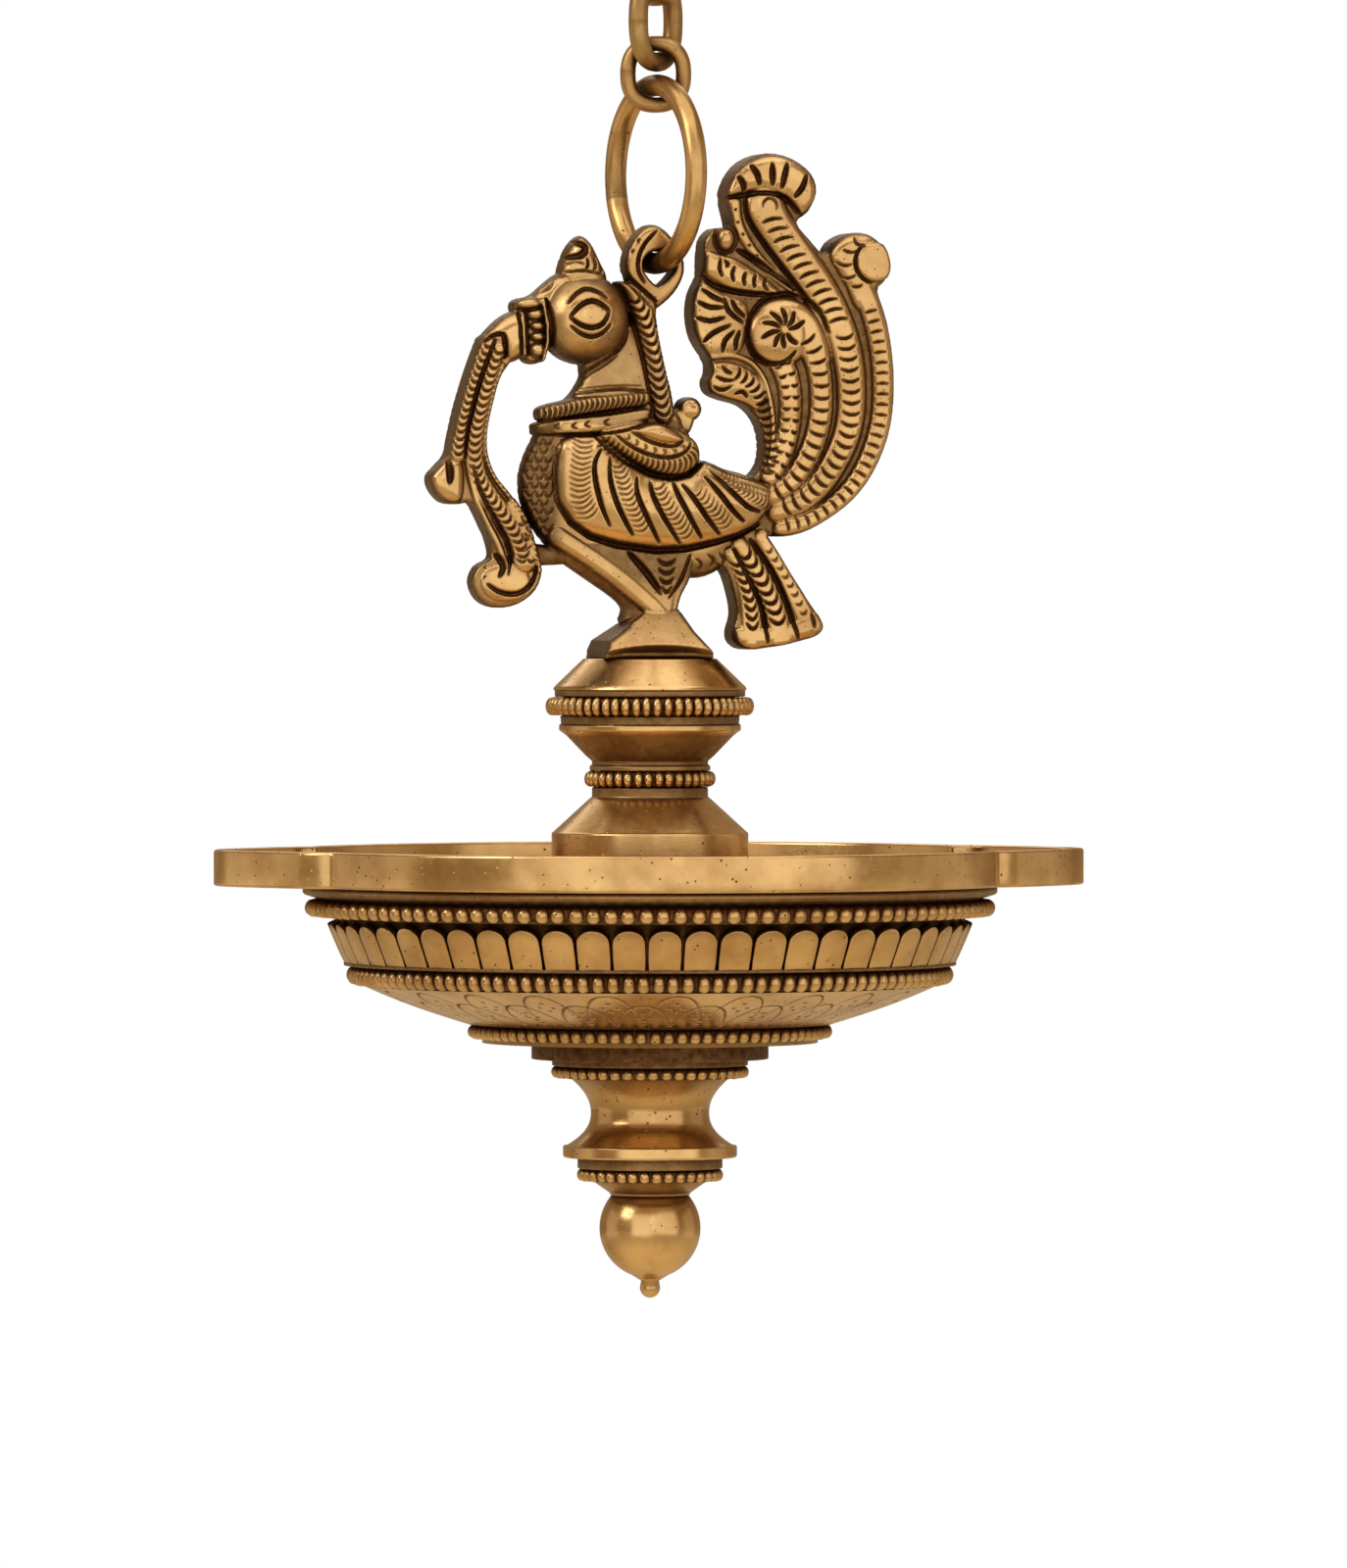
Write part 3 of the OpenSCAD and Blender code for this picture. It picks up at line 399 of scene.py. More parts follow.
def make_ball_finial():
    low, high = heights("ball_finial")
    ball_r, tip_r = 12.9, 2.6
    centre = high - 8.2
    outline = [(0.02, low)]
    outline += [(tip_r * math.sin(a), low + tip_r - tip_r * math.cos(a)) for a in np.radians([25, 50, 75])]
    outline += [(tip_r, low + tip_r), (tip_r - 0.3, centre - ball_r - 0.6),
                (tip_r + 0.9, centre - ball_r + 0.15)]
    outline += [(ball_r * math.cos(a), centre + ball_r * math.sin(a))
                for a in np.radians(np.arange(-68, 39.6, 4))]
    outline += [(9.96, high), (0.02, high)]
    points, faces = lathe(np.array(outline), 128)
    add_piece("cast_ball_finial", points, faces, "lamp", "ball_finial", "cast_brass", CAST)


# Beaded rings
BEAD_SIDES, BEAD_ROWS, CORE_SIDES = 12, 9, 16
# Each bead strays by a share of the pitch, and a little in size, depth and height
BEAD_STRAY, BEAD_LEAST, BEAD_SUNK, BEAD_OFF = 0.05, 0.95, 0.1, 0.06
# Rings: number of beads, share of the pitch that a bead fills, and whether it is round or upright
BEAD_RINGS = {
    "stem_bead_ring": (59, 1.0, False),
    "neck_bead_ring": (37, 1.0, False),
    "rim_bead_ring": (123, 0.95, True),
    "petal_bead_ring": (126, 0.98, False),
    "base_bead_ring": (84, 0.98, True),
    "collar_bead_ring": (46, 0.98, True),
    "drop_bead_ring": (36, 0.98, True),
}


def bead(centre, turn, half_w, half_h, half_out):
    """One rounded bead: half its width along the ring, its height and its stand-out."""
    a = np.linspace(0, 2 * math.pi, BEAD_SIDES, endpoint=False)
    b = np.linspace(0.04, math.pi - 0.04, BEAD_ROWS)
    full = np.sin(b) ** 0.85
    out = half_out * np.outer(full, np.cos(a))
    along = half_w * np.outer(full, np.sin(a))
    up = half_h * np.outer(np.cos(b), np.ones(BEAD_SIDES))
    c, s = math.cos(turn), math.sin(turn)
    points = np.stack([centre[0] + out * c - along * s, centre[1] + out * s + along * c, centre[2] + up], 2)
    faces = grid_faces(BEAD_ROWS, BEAD_SIDES, False, True)
    return points.reshape(-1, 3), faces[:, ::-1]


def make_bead_ring(node, count, fill, round_beads):
    """A beaded ring: a core and beads that stand out of it, each a little different."""
    low, high = node_box(node)
    height, outer = high[2] - low[2], (high[0] - low[0]) / 2
    middle_z = (low[2] + high[2]) / 2
    pitch = 2 * math.pi * (outer - 0.3 * height) / count
    half_w = pitch / 2 * fill
    half_h = min(half_w * 1.08, height / 2) if round_beads else height / 2
    half_out = min(height / 2, half_w * 1.35)
    bead_r = outer - half_out
    core_out = outer - height / 2 - bead_r + 0.25 * half_out
    shape = Shape()
    core = []
    for a in np.linspace(0, 2 * math.pi, CORE_SIDES, endpoint=False):
        reach = 0.48 * height if math.cos(a) < 0 else max(0.12 * height, -core_out)
        core.append((outer - height / 2 + reach * math.cos(a), middle_z + 0.42 * height * math.sin(a)))
    shape.take(*lathe(core))
    core_count = shape.count
    for k in range(count):
        turn = 2 * math.pi * (k + rng.uniform(-BEAD_STRAY, BEAD_STRAY)) / count
        size = rng.uniform(BEAD_LEAST, 1.0, 3)
        r = bead_r - rng.uniform(0, BEAD_SUNK)
        z = middle_z + rng.uniform(-BEAD_OFF, BEAD_OFF)
        centre = (AXIS[0] + r * math.cos(turn), AXIS[1] + r * math.sin(turn), z)
        shape.take(*bead(centre, turn, half_w * size[0], half_h * size[1], half_out * size[2]))
    ring = add_piece("beads_" + node, shape.all_points(), shape.all_faces(), "lamp", node, "beaded_brass",
                     BEADED)
    mark_oxide_and_shade(ring, np.arange(shape.count) < core_count)


def make_bead_rings():
    for node, setting in BEAD_RINGS.items():
        make_bead_ring(node, *setting)


# Dish with two spouts
SPOUT_CREASE = math.radians(24.5)
SPOUT_TIP_POINTS = [(-20.5, 34.6), (-12.5, 25.4), (-5.4, 15.4), (-1.2, 7.2), (0, 0)]
DISH_R, RIM_H, RIM_WALL, EDGE_DEPTH, WELL_DEPTH, UNDER_DEPTH = 92.5, 9.25, 3.0, 6.5, 16.0, 20.0
DISH_SEGMENTS = 900
QUARTER = np.radians([0, 30, 60, 90])


def dish_radius(turn, margin):
    """Distance from the axis to the dish's edge, drawn in by a margin, in each direction."""
    crease = DISH_R * np.array([math.cos(SPOUT_CREASE), math.sin(SPOUT_CREASE)])
    reach = widest("oil_dish")
    side = spline([crease + [-6, 1.2], crease] + [(reach + u, v) for u, v in SPOUT_TIP_POINTS], 6)
    step = np.gradient(side, axis=0)
    inward = np.stack([step[:, 1], -step[:, 0]], 1) / np.linalg.norm(step, axis=1)[:, None]
    inward[-1] = (-1, 0)
    side = side + margin * inward
    angle, far = np.arctan2(side[:, 1], side[:, 0]), np.linalg.norm(side, axis=1)
    order = np.argsort(angle)
    fold = np.abs((turn + math.pi / 2) % math.pi - math.pi / 2)
    spout = np.interp(fold, angle[order], far[order], right=0)
    return np.maximum(spout, DISH_R - margin)


def make_oil_dish():
    turn = np.linspace(0, 2 * math.pi, DISH_SEGMENTS, endpoint=False)
    well_r, pad_r, under_r = DISH_R - RIM_WALL - 0.5, 27.1, 85.0
    edge = 0.7
    well = [(BORE_R, -WELL_DEPTH), (pad_r - 1, -WELL_DEPTH), (pad_r, -WELL_DEPTH + 0.05),
            (pad_r + 1, -WELL_DEPTH + 0.18), ((pad_r + well_r) / 2, -(EDGE_DEPTH + WELL_DEPTH) / 2),
            (well_r - 1.5, -EDGE_DEPTH - 0.2), (well_r - 0.6, -EDGE_DEPTH)]
    under = [(under_r, -RIM_H), (pad_r, -UNDER_DEPTH), (BORE_R, -UNDER_DEPTH)]
    rings = [(np.full(len(turn), r), z) for r, z in well]
    inner = dish_radius(turn, RIM_WALL)
    rings.append((np.maximum(inner - 1.2, well_r - 0.4), -EDGE_DEPTH))
    for a in QUARTER:
        rings.append((inner - edge * (1 - math.sin(a)), -EDGE_DEPTH + edge * (1 - math.cos(a))))
    for a in QUARTER:
        rings.append((dish_radius(turn, RIM_WALL - edge * (1 - math.cos(a))), -edge + edge * math.sin(a)))
    rings.append((dish_radius(turn, RIM_WALL / 2), 0.0))
    for a in QUARTER:
        rings.append((dish_radius(turn, edge * (1 - math.sin(a))), -edge * (1 - math.cos(a))))
    rings.append((dish_radius(turn, 0), -RIM_H / 2))
    for a in QUARTER:
        rings.append((dish_radius(turn, edge * (1 - math.cos(a))), -RIM_H + edge * (1 - math.sin(a))))
    rings += [(np.full(len(turn), r), z) for r, z in under]
    points = np.concatenate([
        np.stack([AXIS[0] + r * np.cos(turn), AXIS[1] + r * np.sin(turn), np.full(len(turn), RIM_Z + z)], 1)
        for r, z in rings])
    faces = grid_faces(len(rings), len(turn), True, True)
    add_piece("turned_oil_dish", points, faces, "lamp", "oil_dish", "turned_brass", TURNED)


# Lotus bowl
PETALS, PETAL_STEPS = 56, 7
UNDER_PETALS, UNDER_SEGMENTS, UNDER_ROWS = 24, 1200, 110
RECESS_OXIDE = 0.75
# Engraved petals in two rows: shift by a share of the pitch, and where the tip lies from edge to foot
UNDER_TIPS = ((0.0, 0.10), (0.5, 0.36))
# Dots in each petal: how far from its middle and below its tip
UNDER_DOTS = ((0.0, 0.2), (0.22, 0.32), (0.0, 0.4))
# Depth of the engraving, the depth at which it is full of oxide, and half sizes of its lines and dots
ENGRAVED, UNDER_FULL, LINE_HALF, DOT_W, DOT_H = 0.4, 0.25, 0.02, 0.055, 0.022


def under_cut(turn, t):
    """Depth of the engraving on the bowl's underside; t runs from its outer edge to its foot."""
    depth = np.zeros_like(turn)
    for shift, top in UNDER_TIPS:
        k = turn / (2 * math.pi) * UNDER_PETALS + shift
        across = np.abs(k - np.round(k)) * 2
        tip = top + (1 - top) * 0.9 * across ** 2.4
        depth = np.maximum(depth, np.clip(1 - np.abs(t - tip) / LINE_HALF, 0, 1) * (across < 0.97))
        for dot_across, dot_t in UNDER_DOTS:
            near = np.hypot((across - dot_across) / DOT_W, (t - top - dot_t) / DOT_H)
            depth = np.maximum(depth, np.clip(1.3 - near, 0, 1))
    return ENGRAVED * np.clip(depth, 0, 1)


def make_lotus_bowl():
    low, high = heights("lotus_bowl")
    lip_r = widest("lotus_bowl")
    lip_h, wall, petal_top_r, petal_low_r, petal_h = 3.6, 3.0, 82.5, 78.1, 12.4
    rim_seat, petal_seat, base_seat = 83.9, 72.45, 42.85
    petal_z = heights("rim_bead_ring")[0] - 0.05
    petal_low = petal_z - petal_h
    under_z = heights("petal_bead_ring")[0] - 0.05
    base_z = heights("base_bead_ring")[1] + 0.05
    under_r, base_r, swell, sunk = 73.5, 46.4, 1.5, 1.8
    turn = np.linspace(0, 2 * math.pi, UNDER_SEGMENTS, endpoint=False)
    outer = [(lip_r - 0.4, high), (lip_r, high - 0.4), (lip_r, high - lip_h / 2),
             (lip_r - 0.5, high - lip_h / 2 - 0.5), (rim_seat, high - lip_h), (rim_seat, petal_z),
             (petal_top_r - sunk, petal_z), (petal_low_r - sunk, petal_low + 1),
             (petal_low_r, petal_low + 0.8), (petal_low_r, petal_low), (petal_seat, petal_low),
             (petal_seat, under_z), (under_r - 0.3, under_z)]
    t = np.linspace(0, 1, UNDER_ROWS)
    under = [(under_r + (base_r - under_r) * k + swell * math.sin(math.pi * k),
              under_z + (base_z - under_z) * k) for k in t]
    inner = [(base_seat, base_z), (base_seat, low), (BORE_R, low), (BORE_R, base_z + wall),
             (base_r, base_z + wall), (under_r - wall, under_z + wall), (petal_low_r - wall - 2, petal_low),
             (lip_r - wall, high)]
    profile = np.array(outer + under + inner)
    points, faces = lathe(profile, UNDER_SEGMENTS)
    points = points.reshape(len(profile), UNDER_SEGMENTS, 3)
    rows = slice(len(outer), len(outer) + UNDER_ROWS)
    depth = under_cut(turn[None, :] + 0 * t[:, None], t[:, None] + 0 * turn[None, :])
    slope = np.array([base_z - under_z, under_r - base_r])
    normal = slope / np.linalg.norm(slope)
    points[rows, :, 0] += depth * np.cos(turn) * normal[0]
    points[rows, :, 1] += depth * np.sin(turn) * normal[0]
    points[rows, :, 2] += depth * normal[1]
    shell = add_piece("lotus_bowl_shell", points.reshape(-1, 3), faces, "lamp", "lotus_bowl",
                      "turned_brass", TURNED)
    oxide_and_shade = np.zeros(points.shape[:2])
    oxide_and_shade[2:len(outer) - 1] = RECESS_OXIDE
    oxide_and_shade[rows] = np.clip(depth / UNDER_FULL, 0, 1)
    mark_oxide_and_shade(shell, oxide_and_shade)
    make_petals(petal_top_r, petal_low_r, petal_z - 1.7, petal_low + 0.55, sunk)


def make_petals(top_r, low_r, top_z, low_z, sunk):
    """Round-headed petals that stand out of a sunk band."""
    width = 2 * math.pi * low_r / PETALS * 0.965
    height = math.hypot(top_z - low_z, top_r - low_r)
    head = np.radians(np.linspace(0, 180, 2 * PETAL_STEPS + 1))
    outline = [(width / 2 * math.cos(a), height - width * 0.42 + width * 0.42 * math.sin(a)) for a in head]
    outline = np.array([(width / 2 * 0.96, 0), (width / 2, height * 0.3)] + outline
                       + [(-width / 2, height * 0.3), (-width / 2 * 0.96, 0)])
    middle = np.array([0, height * 0.5])
    layers = [(1.0, -sunk), (1.0, -0.3), (0.985, -0.08), (0.955, 0.0), (0.6, 0.06), (0.25, 0.08)]
    shape = Shape()
    lean = np.array([top_r - low_r, top_z - low_z]) / height
    out = np.array([lean[1], -lean[0]])
    for k in range(PETALS):
        turn = 2 * math.pi * (k + 0.5) / PETALS
        c, s = math.cos(turn), math.sin(turn)
        grow = rng.uniform(0.97, 1.0)
        points = []
        for scale, lift in layers:
            p = middle + (outline - middle) * scale * [grow, 1]
            r = low_r - 0.1 + p[:, 1] * lean[0] + lift * out[0]
            z = low_z + p[:, 1] * lean[1] + lift * out[1]
            bend = p[:, 0] ** 2 / (2 * low_r)
            points.append(np.stack([AXIS[0] + (r - bend) * c - p[:, 0] * s,
                                    AXIS[1] + (r - bend) * s + p[:, 0] * c, z], 1))
        n = len(outline)
        faces = grid_faces(len(layers), n, False, True).tolist()
        shape.take(np.concatenate(points), faces)
        first = shape.count - len(layers) * n
        shape.faces.append(np.array([list(range(first + (len(layers) - 1) * n, first + len(layers) * n))]))
        shape.faces.append(np.array([list(range(first + n - 1, first - 1, -1))]))
    add_piece("lotus_bowl_petals", shape.all_points(), shape.all_faces(), "lamp", "lotus_bowl",
              "turned_brass", TURNED)


# Chain
def swept(path, radius, sides=20, closed=True):
    """A round bar along a path, with one radius for each point."""
    p = np.asarray(path, float)
    if closed:
        tangent = np.roll(p, -1, 0) - np.roll(p, 1, 0)
    else:
        tangent = np.gradient(p, axis=0)
    tangent /= np.linalg.norm(tangent, axis=1)[:, None]
    flat = np.linalg.svd(p - p.mean(0))[2][2]
    across = np.cross(tangent, flat)
    across /= np.linalg.norm(across, axis=1)[:, None]
    other = np.cross(tangent, across)
    a = np.linspace(0, 2 * math.pi, sides, endpoint=False)
    ring = across[:, None, :] * np.cos(a)[None, :, None] + other[:, None, :] * np.sin(a)[None, :, None]
    points = p[:, None, :] + ring * np.asarray(radius)[:, None, None]
    return points.reshape(-1, 3), grid_faces(len(p), sides, closed, True)


# Powers of the ovals: 2 is a true ellipse, and a higher one squares it, to leave room for the next wire
LINK_POWER, SLING_POWER = 2.4, 2.0


def loop_path(wire, clear_w, clear_h, turn, z, power, step=0.6):
    """Centre line of a hand-bent loop of wire, a full oval whose bottom wire's centre is at height z."""
    w, h = clear_w + wire, clear_h + wire
    a = np.linspace(0, 2 * math.pi, 721)
    oval = [np.sign(t) * np.abs(t) ** (2 / power) for t in (np.cos(a), np.sin(a))]
    x, y = w / 2 * oval[0], h / 2 * oval[1]
    far = np.concatenate([[0], np.cumsum(np.hypot(np.diff(x), np.diff(y)))])
    even = np.linspace(0, far[-1], int(far[-1] / step), endpoint=False)
    x, y = np.interp(even, far, x), np.interp(even, far, y)
    c, s = math.cos(math.radians(turn)), math.sin(math.radians(turn))
    return np.stack([x * c, x * s, y + h / 2 + z], 1)


# A hand-bent wire's radius wavers by this share and swells by this share at the seam
WAVER, SEAM_SWELL, SEAM_HALF = 0.004, 0.012, 0.012


def hand_drawn(count, wire, seam_at):
    """Radius along a hand-bent wire: a little uneven, with a low swelling where its ends were brazed."""
    s = np.linspace(0, 1, count, endpoint=False)
    uneven = sum(rng.uniform(-1, 1) * np.sin(2 * math.pi * (k * s + rng.uniform())) for k in (2, 3, 5, 8))
    apart = np.abs((s - seam_at + 0.5) % 1 - 0.5)
    seam = np.exp(-(apart / SEAM_HALF) ** 2)
    return wire / 2 * (1 - SEAM_SWELL + WAVER * uneven + SEAM_SWELL * seam)


# Braze leaves a brown stain on one side of the seam, over this share of the loop
SEAM_OXIDE, SEAM_RUN = 0.6, 0.09


def make_loop(name, node, body, wire, clear_w, clear_h, turn, z, seam_at, parts=(), browned=0.0,
              power=LINK_POWER):
    """A closed loop of brazed wire, with any parts that are forged onto it."""
    path = loop_path(wire, clear_w, clear_h, turn, z, power)
    points, faces = swept(path, hand_drawn(len(path), wire, seam_at))
    shape = Shape()
    shape.take(points, faces)
    for extra in parts:
        shape.take(*extra)
    piece = add_piece(name, shape.all_points(), shape.all_faces(), body, node, "chain_brass", DRAWN)
    past_seam = (np.linspace(0, 1, len(path), endpoint=False) - seam_at) % 1
    stain = SEAM_OXIDE * np.where(past_seam < SEAM_RUN, 1 - past_seam / SEAM_RUN, 0)
    share = np.full(shape.count, browned)
    share[:len(points)] = np.maximum(browned, np.repeat(stain, len(points) // len(path)))
    mark_oxide_and_shade(piece, share)


RING_WIRE, LINK_WIRE, SLING_WIRE, EYE_WIRE = 4.0, 5.0, 5.6, 5.0
RING_CLEAR_W, LINK_CLEAR_W, EYE_CLEAR_W = 10.2, 11.2, 9.6
WIRE_GAP, RING_SLACK = 0.25, 0.6
# Where the brazed seam lies, as a share of the way round from the level
RING_SEAM, LINK_SEAM, SLING_SEAM, EYE_SEAM = 0.48, 0.5, 0.957, 0.25
LINK_TURN, CROSS_TURN, RING_TURN, SLING_TURN = 51, -39, -9, 111
# The chain is handled less than the suspension ring and stays browner
RING_BROWN, LINK_BROWN = 0.2, 0.4
HOOK_BORE_R, HOOK_BAR, HOOK_THICK, MOUTH_DROP, MOUTH_W = 8.0, 5.5, 6.0, 30, 10.0
HOOK_STEPS, HOOK_SIDES = 60, 24


def bottom_wire(node, wire):
    return heights(node)[0] + wire / 2


def clear_height(node, wire):
    low, high = heights(node)
    return high - low - 2 * wire


def make_chain():
    for k, turn in ((1, CROSS_TURN), (2, CROSS_TURN), (3, RING_TURN)):
        node = f"chain_ring_{k}"
        make_loop("wire_" + node, node, f"ring_{k}", RING_WIRE, RING_CLEAR_W, clear_height(node, RING_WIRE),
                  turn, bottom_wire(node, RING_WIRE), RING_SEAM, browned=RING_BROWN)
    for k in (1, 2):
        node = f"chain_link_{k}"
        make_loop("wire_" + node, node, f"link_{k}", LINK_WIRE, LINK_CLEAR_W, clear_height(node, LINK_WIRE),
                  LINK_TURN, bottom_wire(node, LINK_WIRE), LINK_SEAM, browned=LINK_BROWN)
    clear = clear_height("suspension_ring", SLING_WIRE)
    make_loop("wire_suspension_ring", "suspension_ring", "suspension_ring", SLING_WIRE, clear, clear,
              SLING_TURN, bottom_wire("suspension_ring", SLING_WIRE), SLING_SEAM, power=SLING_POWER)


def make_hook():
    """A forged hook: a flattened round bar bent over a bore, with a shank and a closed eye."""
    bend = HOOK_BORE_R + HOOK_BAR / 2
    gap = math.degrees(math.asin(MOUTH_W / 2 / HOOK_BORE_R))
    first, last = -MOUTH_DROP + gap, 360 - MOUTH_DROP - gap
    a = np.radians(np.linspace(first, last, HOOK_STEPS))
    path = np.stack([bend * np.cos(a), 0 * a, bend * np.sin(a)], 1)
    bar, faces = swept(path, np.full(len(path), 1.0), HOOK_SIDES, closed=False)
    bar = bar.reshape(len(path), HOOK_SIDES, 3)
    ring = bar - path[:, None, :]
    out = np.stack([np.cos(a), 0 * a, np.sin(a)], 1)[:, None, :]
    radial = (ring * out).sum(2)
    side = ring[:, :, 1]
    tip = np.minimum(np.arange(len(path)), np.arange(len(path))[::-1])
    taper = np.clip(0.55 + 0.45 * tip / 4, 0, 1)[:, None]
    square = (np.abs(radial) ** 3 + np.abs(side) ** 3) ** (1 / 3)
    radial, side = radial / square * HOOK_BAR / 2 * taper, side / square * HOOK_THICK / 2 * taper
    bar = path[:, None, :] + out * radial[:, :, None] + np.array([0, 1, 0]) * side[:, :, None]
    parts = [(bar.reshape(-1, 3), faces)]
    for end in (0, len(path) - 1):
        ring_ends = bar[end]
        middle = ring_ends.mean(0)
        cap = np.vstack([ring_ends, middle + (middle - bar[abs(end - 1)].mean(0)) * 0.5])
        parts.append((cap, [(j, (j + 1) % HOOK_SIDES, HOOK_SIDES) for j in range(HOOK_SIDES)]))
    shank_r = 3.2
    eye_z = bottom_wire("ceiling_hook", EYE_WIRE)
    eye_clear = RING_WIRE + WIRE_GAP + RING_SLACK + EYE_WIRE / 2
    shank_low, shank_high = eye_z + eye_clear + EYE_WIRE, -HOOK_BORE_R - HOOK_BAR * 0.5
    z = np.linspace(shank_low - EYE_WIRE / 2, shank_high, 16)
    above = z - shank_low
    collar = shank_r * (1 + 0.28 * np.exp(-((above - 1.6) / 1.0) ** 2) - 0.06 * np.sin(above * 0.6))
    turn = np.linspace(0, 2 * math.pi, HOOK_SIDES, endpoint=False)
    level = np.repeat(z[:, None], HOOK_SIDES, 1)
    shank = np.stack([collar[:, None] * np.cos(turn), collar[:, None] * np.sin(turn), level], 2)
    parts.append((shank.reshape(-1, 3), grid_faces(len(z), HOOK_SIDES, False, True)))
    make_loop("forged_ceiling_hook", "ceiling_hook", "hook", EYE_WIRE, EYE_CLEAR_W, eye_clear, LINK_TURN,
              eye_z, EYE_SEAM, parts)


# Bird: a flat casting worked on both faces. u runs along it with the tail at +u, v up from its foot
CELL = 0.27
BIRD_LOW, BIRD_HIGH = np.array([-59.0, -0.2]), np.array([63.0, 130.0])
EDGE_ROUND, LEAST_HEIGHT = 1.1, 1.0
WALL_STEPS = 8
OUTSIDE = -9.0
# A cut this deep is full of oxide
FULL_CUT = 0.9
# Painted shade: slopes are darkened the more they turn from the face, with this share of the oxide colour at
# most
STEEP_FROM, STEEP_TO, STEEP_SHADE = 0.9, 0.4, 0.9

TAIL = [(25, 34), (31, 31.2), (38, 32), (45, 35.6), (51.6, 40.6), (57, 47.6), (61, 56.8), (62.6, 67),
        (62.4, 76), (60.9, 86), (58.4, 93.8), (60.3, 96.5), (61.2, 100.5), (59.5, 105.5), (55.5, 108.4),
        (50.5, 108.5), (46.5, 106.3), (44.3, 103.3), (40.5, 107), (37.2, 111.3), (40.2, 114), (42.4, 119),
        (41, 123.7), (36, 127.5), (29.5, 128.9), (23.5, 126.8), (19.8, 122.5), (18.5, 117.5), (19.6, 113),
        (19.8, 110), (15.8, 109.6), (13.1, 106.5), (12.8, 102), (12.2, 97), (10.4, 93), (9.8, 87.5),
        (11, 81.5), (14.1, 76.6), (14.9, 73), (13.8, 70.3), (15, 67.5), (18.5, 66), (23.5, 64.5), (27, 61),
        (28.6, 56), (28.3, 50.5), (26, 46.8), (21, 43)]
UNDERTAIL = [(13, 27), (18.2, 23), (20.5, 17), (21.4, 11.5), (20.3, 7), (21, 4), (24.5, 2.3), (31, 3),
             (38, 4.4), (43, 6.2), (44.2, 8.7), (41.5, 13), (36, 21), (31, 29), (27, 33), (19, 31)]
GARLAND = [(-36.5, 77), (-39.7, 71.5), (-41.5, 65.5), (-43, 59), (-43.1, 53), (-41, 47), (-37, 42),
           (-33.2, 36.5), (-31, 31), (-30, 26.5), (-28.8, 22.5), (-30.5, 17.5), (-35, 14), (-40.5, 13),
           (-45, 15), (-47, 19.5), (-45.5, 23.5), (-42.2, 25.6), (-42.3, 29), (-44.5, 35), (-47.3, 39.6),
           (-50.5, 39.3), (-54.5, 39.9), (-57.4, 43.2), (-57.9, 46.6), (-55.5, 49.3), (-53.4, 52),
           (-52, 57), (-50.5, 63.5), (-48.3, 71), (-46.3, 77), (-44.5, 81), (-40, 82)]
TIE = [(-32, 29), (-27, 29), (-21, 29), (-21, 24.6), (-27.5, 23.8), (-32, 24)]
BEAK = [(-32, 89), (-35.5, 88.6), (-39, 87), (-42.4, 84), (-45.2, 80.4), (-44, 79), (-40.5, 78.6),
        (-37.7, 75.4), (-34, 76.5), (-31, 80)]
HALTER = [(-36, 90.9), (-32.6, 92), (-29.5, 91.4), (-28, 88.6), (-27.1, 83), (-27.4, 78.6), (-28.6, 75.8),
          (-31, 74.9), (-33.4, 75.8), (-34.5, 79), (-34.8, 83.5), (-36.5, 88.8)]
BROW = [(-34, 90.6), (-31, 92.8), (-28, 95.4), (-25, 97.7), (-21, 98.8), (-16, 98.4), (-16, 92), (-22, 86),
        (-29, 85)]
HALTER_BEADS = (((-31, 87.6), 2.4, 1.8), ((-30.5, 84.6), 2.0, 1.4), ((-30.4, 81.9), 2.0, 1.4),
                ((-30.3, 78.5), 2.3, 2.1))
CREST = [(-24.4, 96), (-23.6, 101.2), (-21.5, 105.5), (-18.7, 107.7), (-16, 106), (-13.8, 101.8),
         (-11.6, 96.4), (-14, 90), (-22, 90)]
TRUNK = [(-27, 61), (-31, 55.5), (-33.4, 50), (-34.3, 45), (-33.4, 39), (-30.5, 33), (-26, 28), (-20, 24),
         (-10, 22.5), (0, 21.5), (8, 20.6), (14, 21), (20, 24.5), (27, 31.5), (30.5, 37), (30, 42.5),
         (25, 46.6), (18, 48.6), (12, 51), (10.6, 55), (8, 60), (0, 63), (-14, 63.4)]
NECK = [(-18.4, 78), (-18.5, 72), (-21, 67.5), (-25, 62), (-12, 59), (2, 60), (2.5, 68), (0, 77), (-5, 86),
        (-12, 84)]
ROPE = [(-30.3, 62.4), (-28.6, 64.3), (-20, 66.2), (-10, 67.4), (-2.6, 67.9), (-1.4, 66.2), (-2.6, 64.5),
        (-10, 63.5), (-20, 62), (-28.5, 60.4)]
BAND = [(-31.2, 58.4), (-29.8, 60.2), (-18, 61.5), (-3, 63.6), (-1.8, 62), (-3, 60.2), (-10, 58.4),
        (-18, 57.2), (-29.6, 56.7)]
CAPE = [(-15, 57), (-8, 51.4), (0, 47.4), (6.5, 47), (10.6, 49.8), (11.2, 53.5), (8, 57), (1, 59.6), (-8, 60)]
MANE = [(-9.5, 96), (-7.2, 91), (-5, 85), (-3.4, 79), (-2.3, 73), (-1.5, 67), (-0.5, 61.5), (2.5, 58.5),
        (5.3, 62), (4.9, 67), (3.6, 73), (2.1, 80), (0.8, 87), (0.6, 91), (-4, 95)]
LUG = [(-0.4, 110.6), (3.5, 108.9), (7.2, 103.95), (8.3, 99.25), (6.6, 94.55), (3.1, 90.7), (-0.7, 88.75),
       (-4.6, 92.8), (-7.2, 98.6), (-6.7, 103.8), (-4, 108.4)]
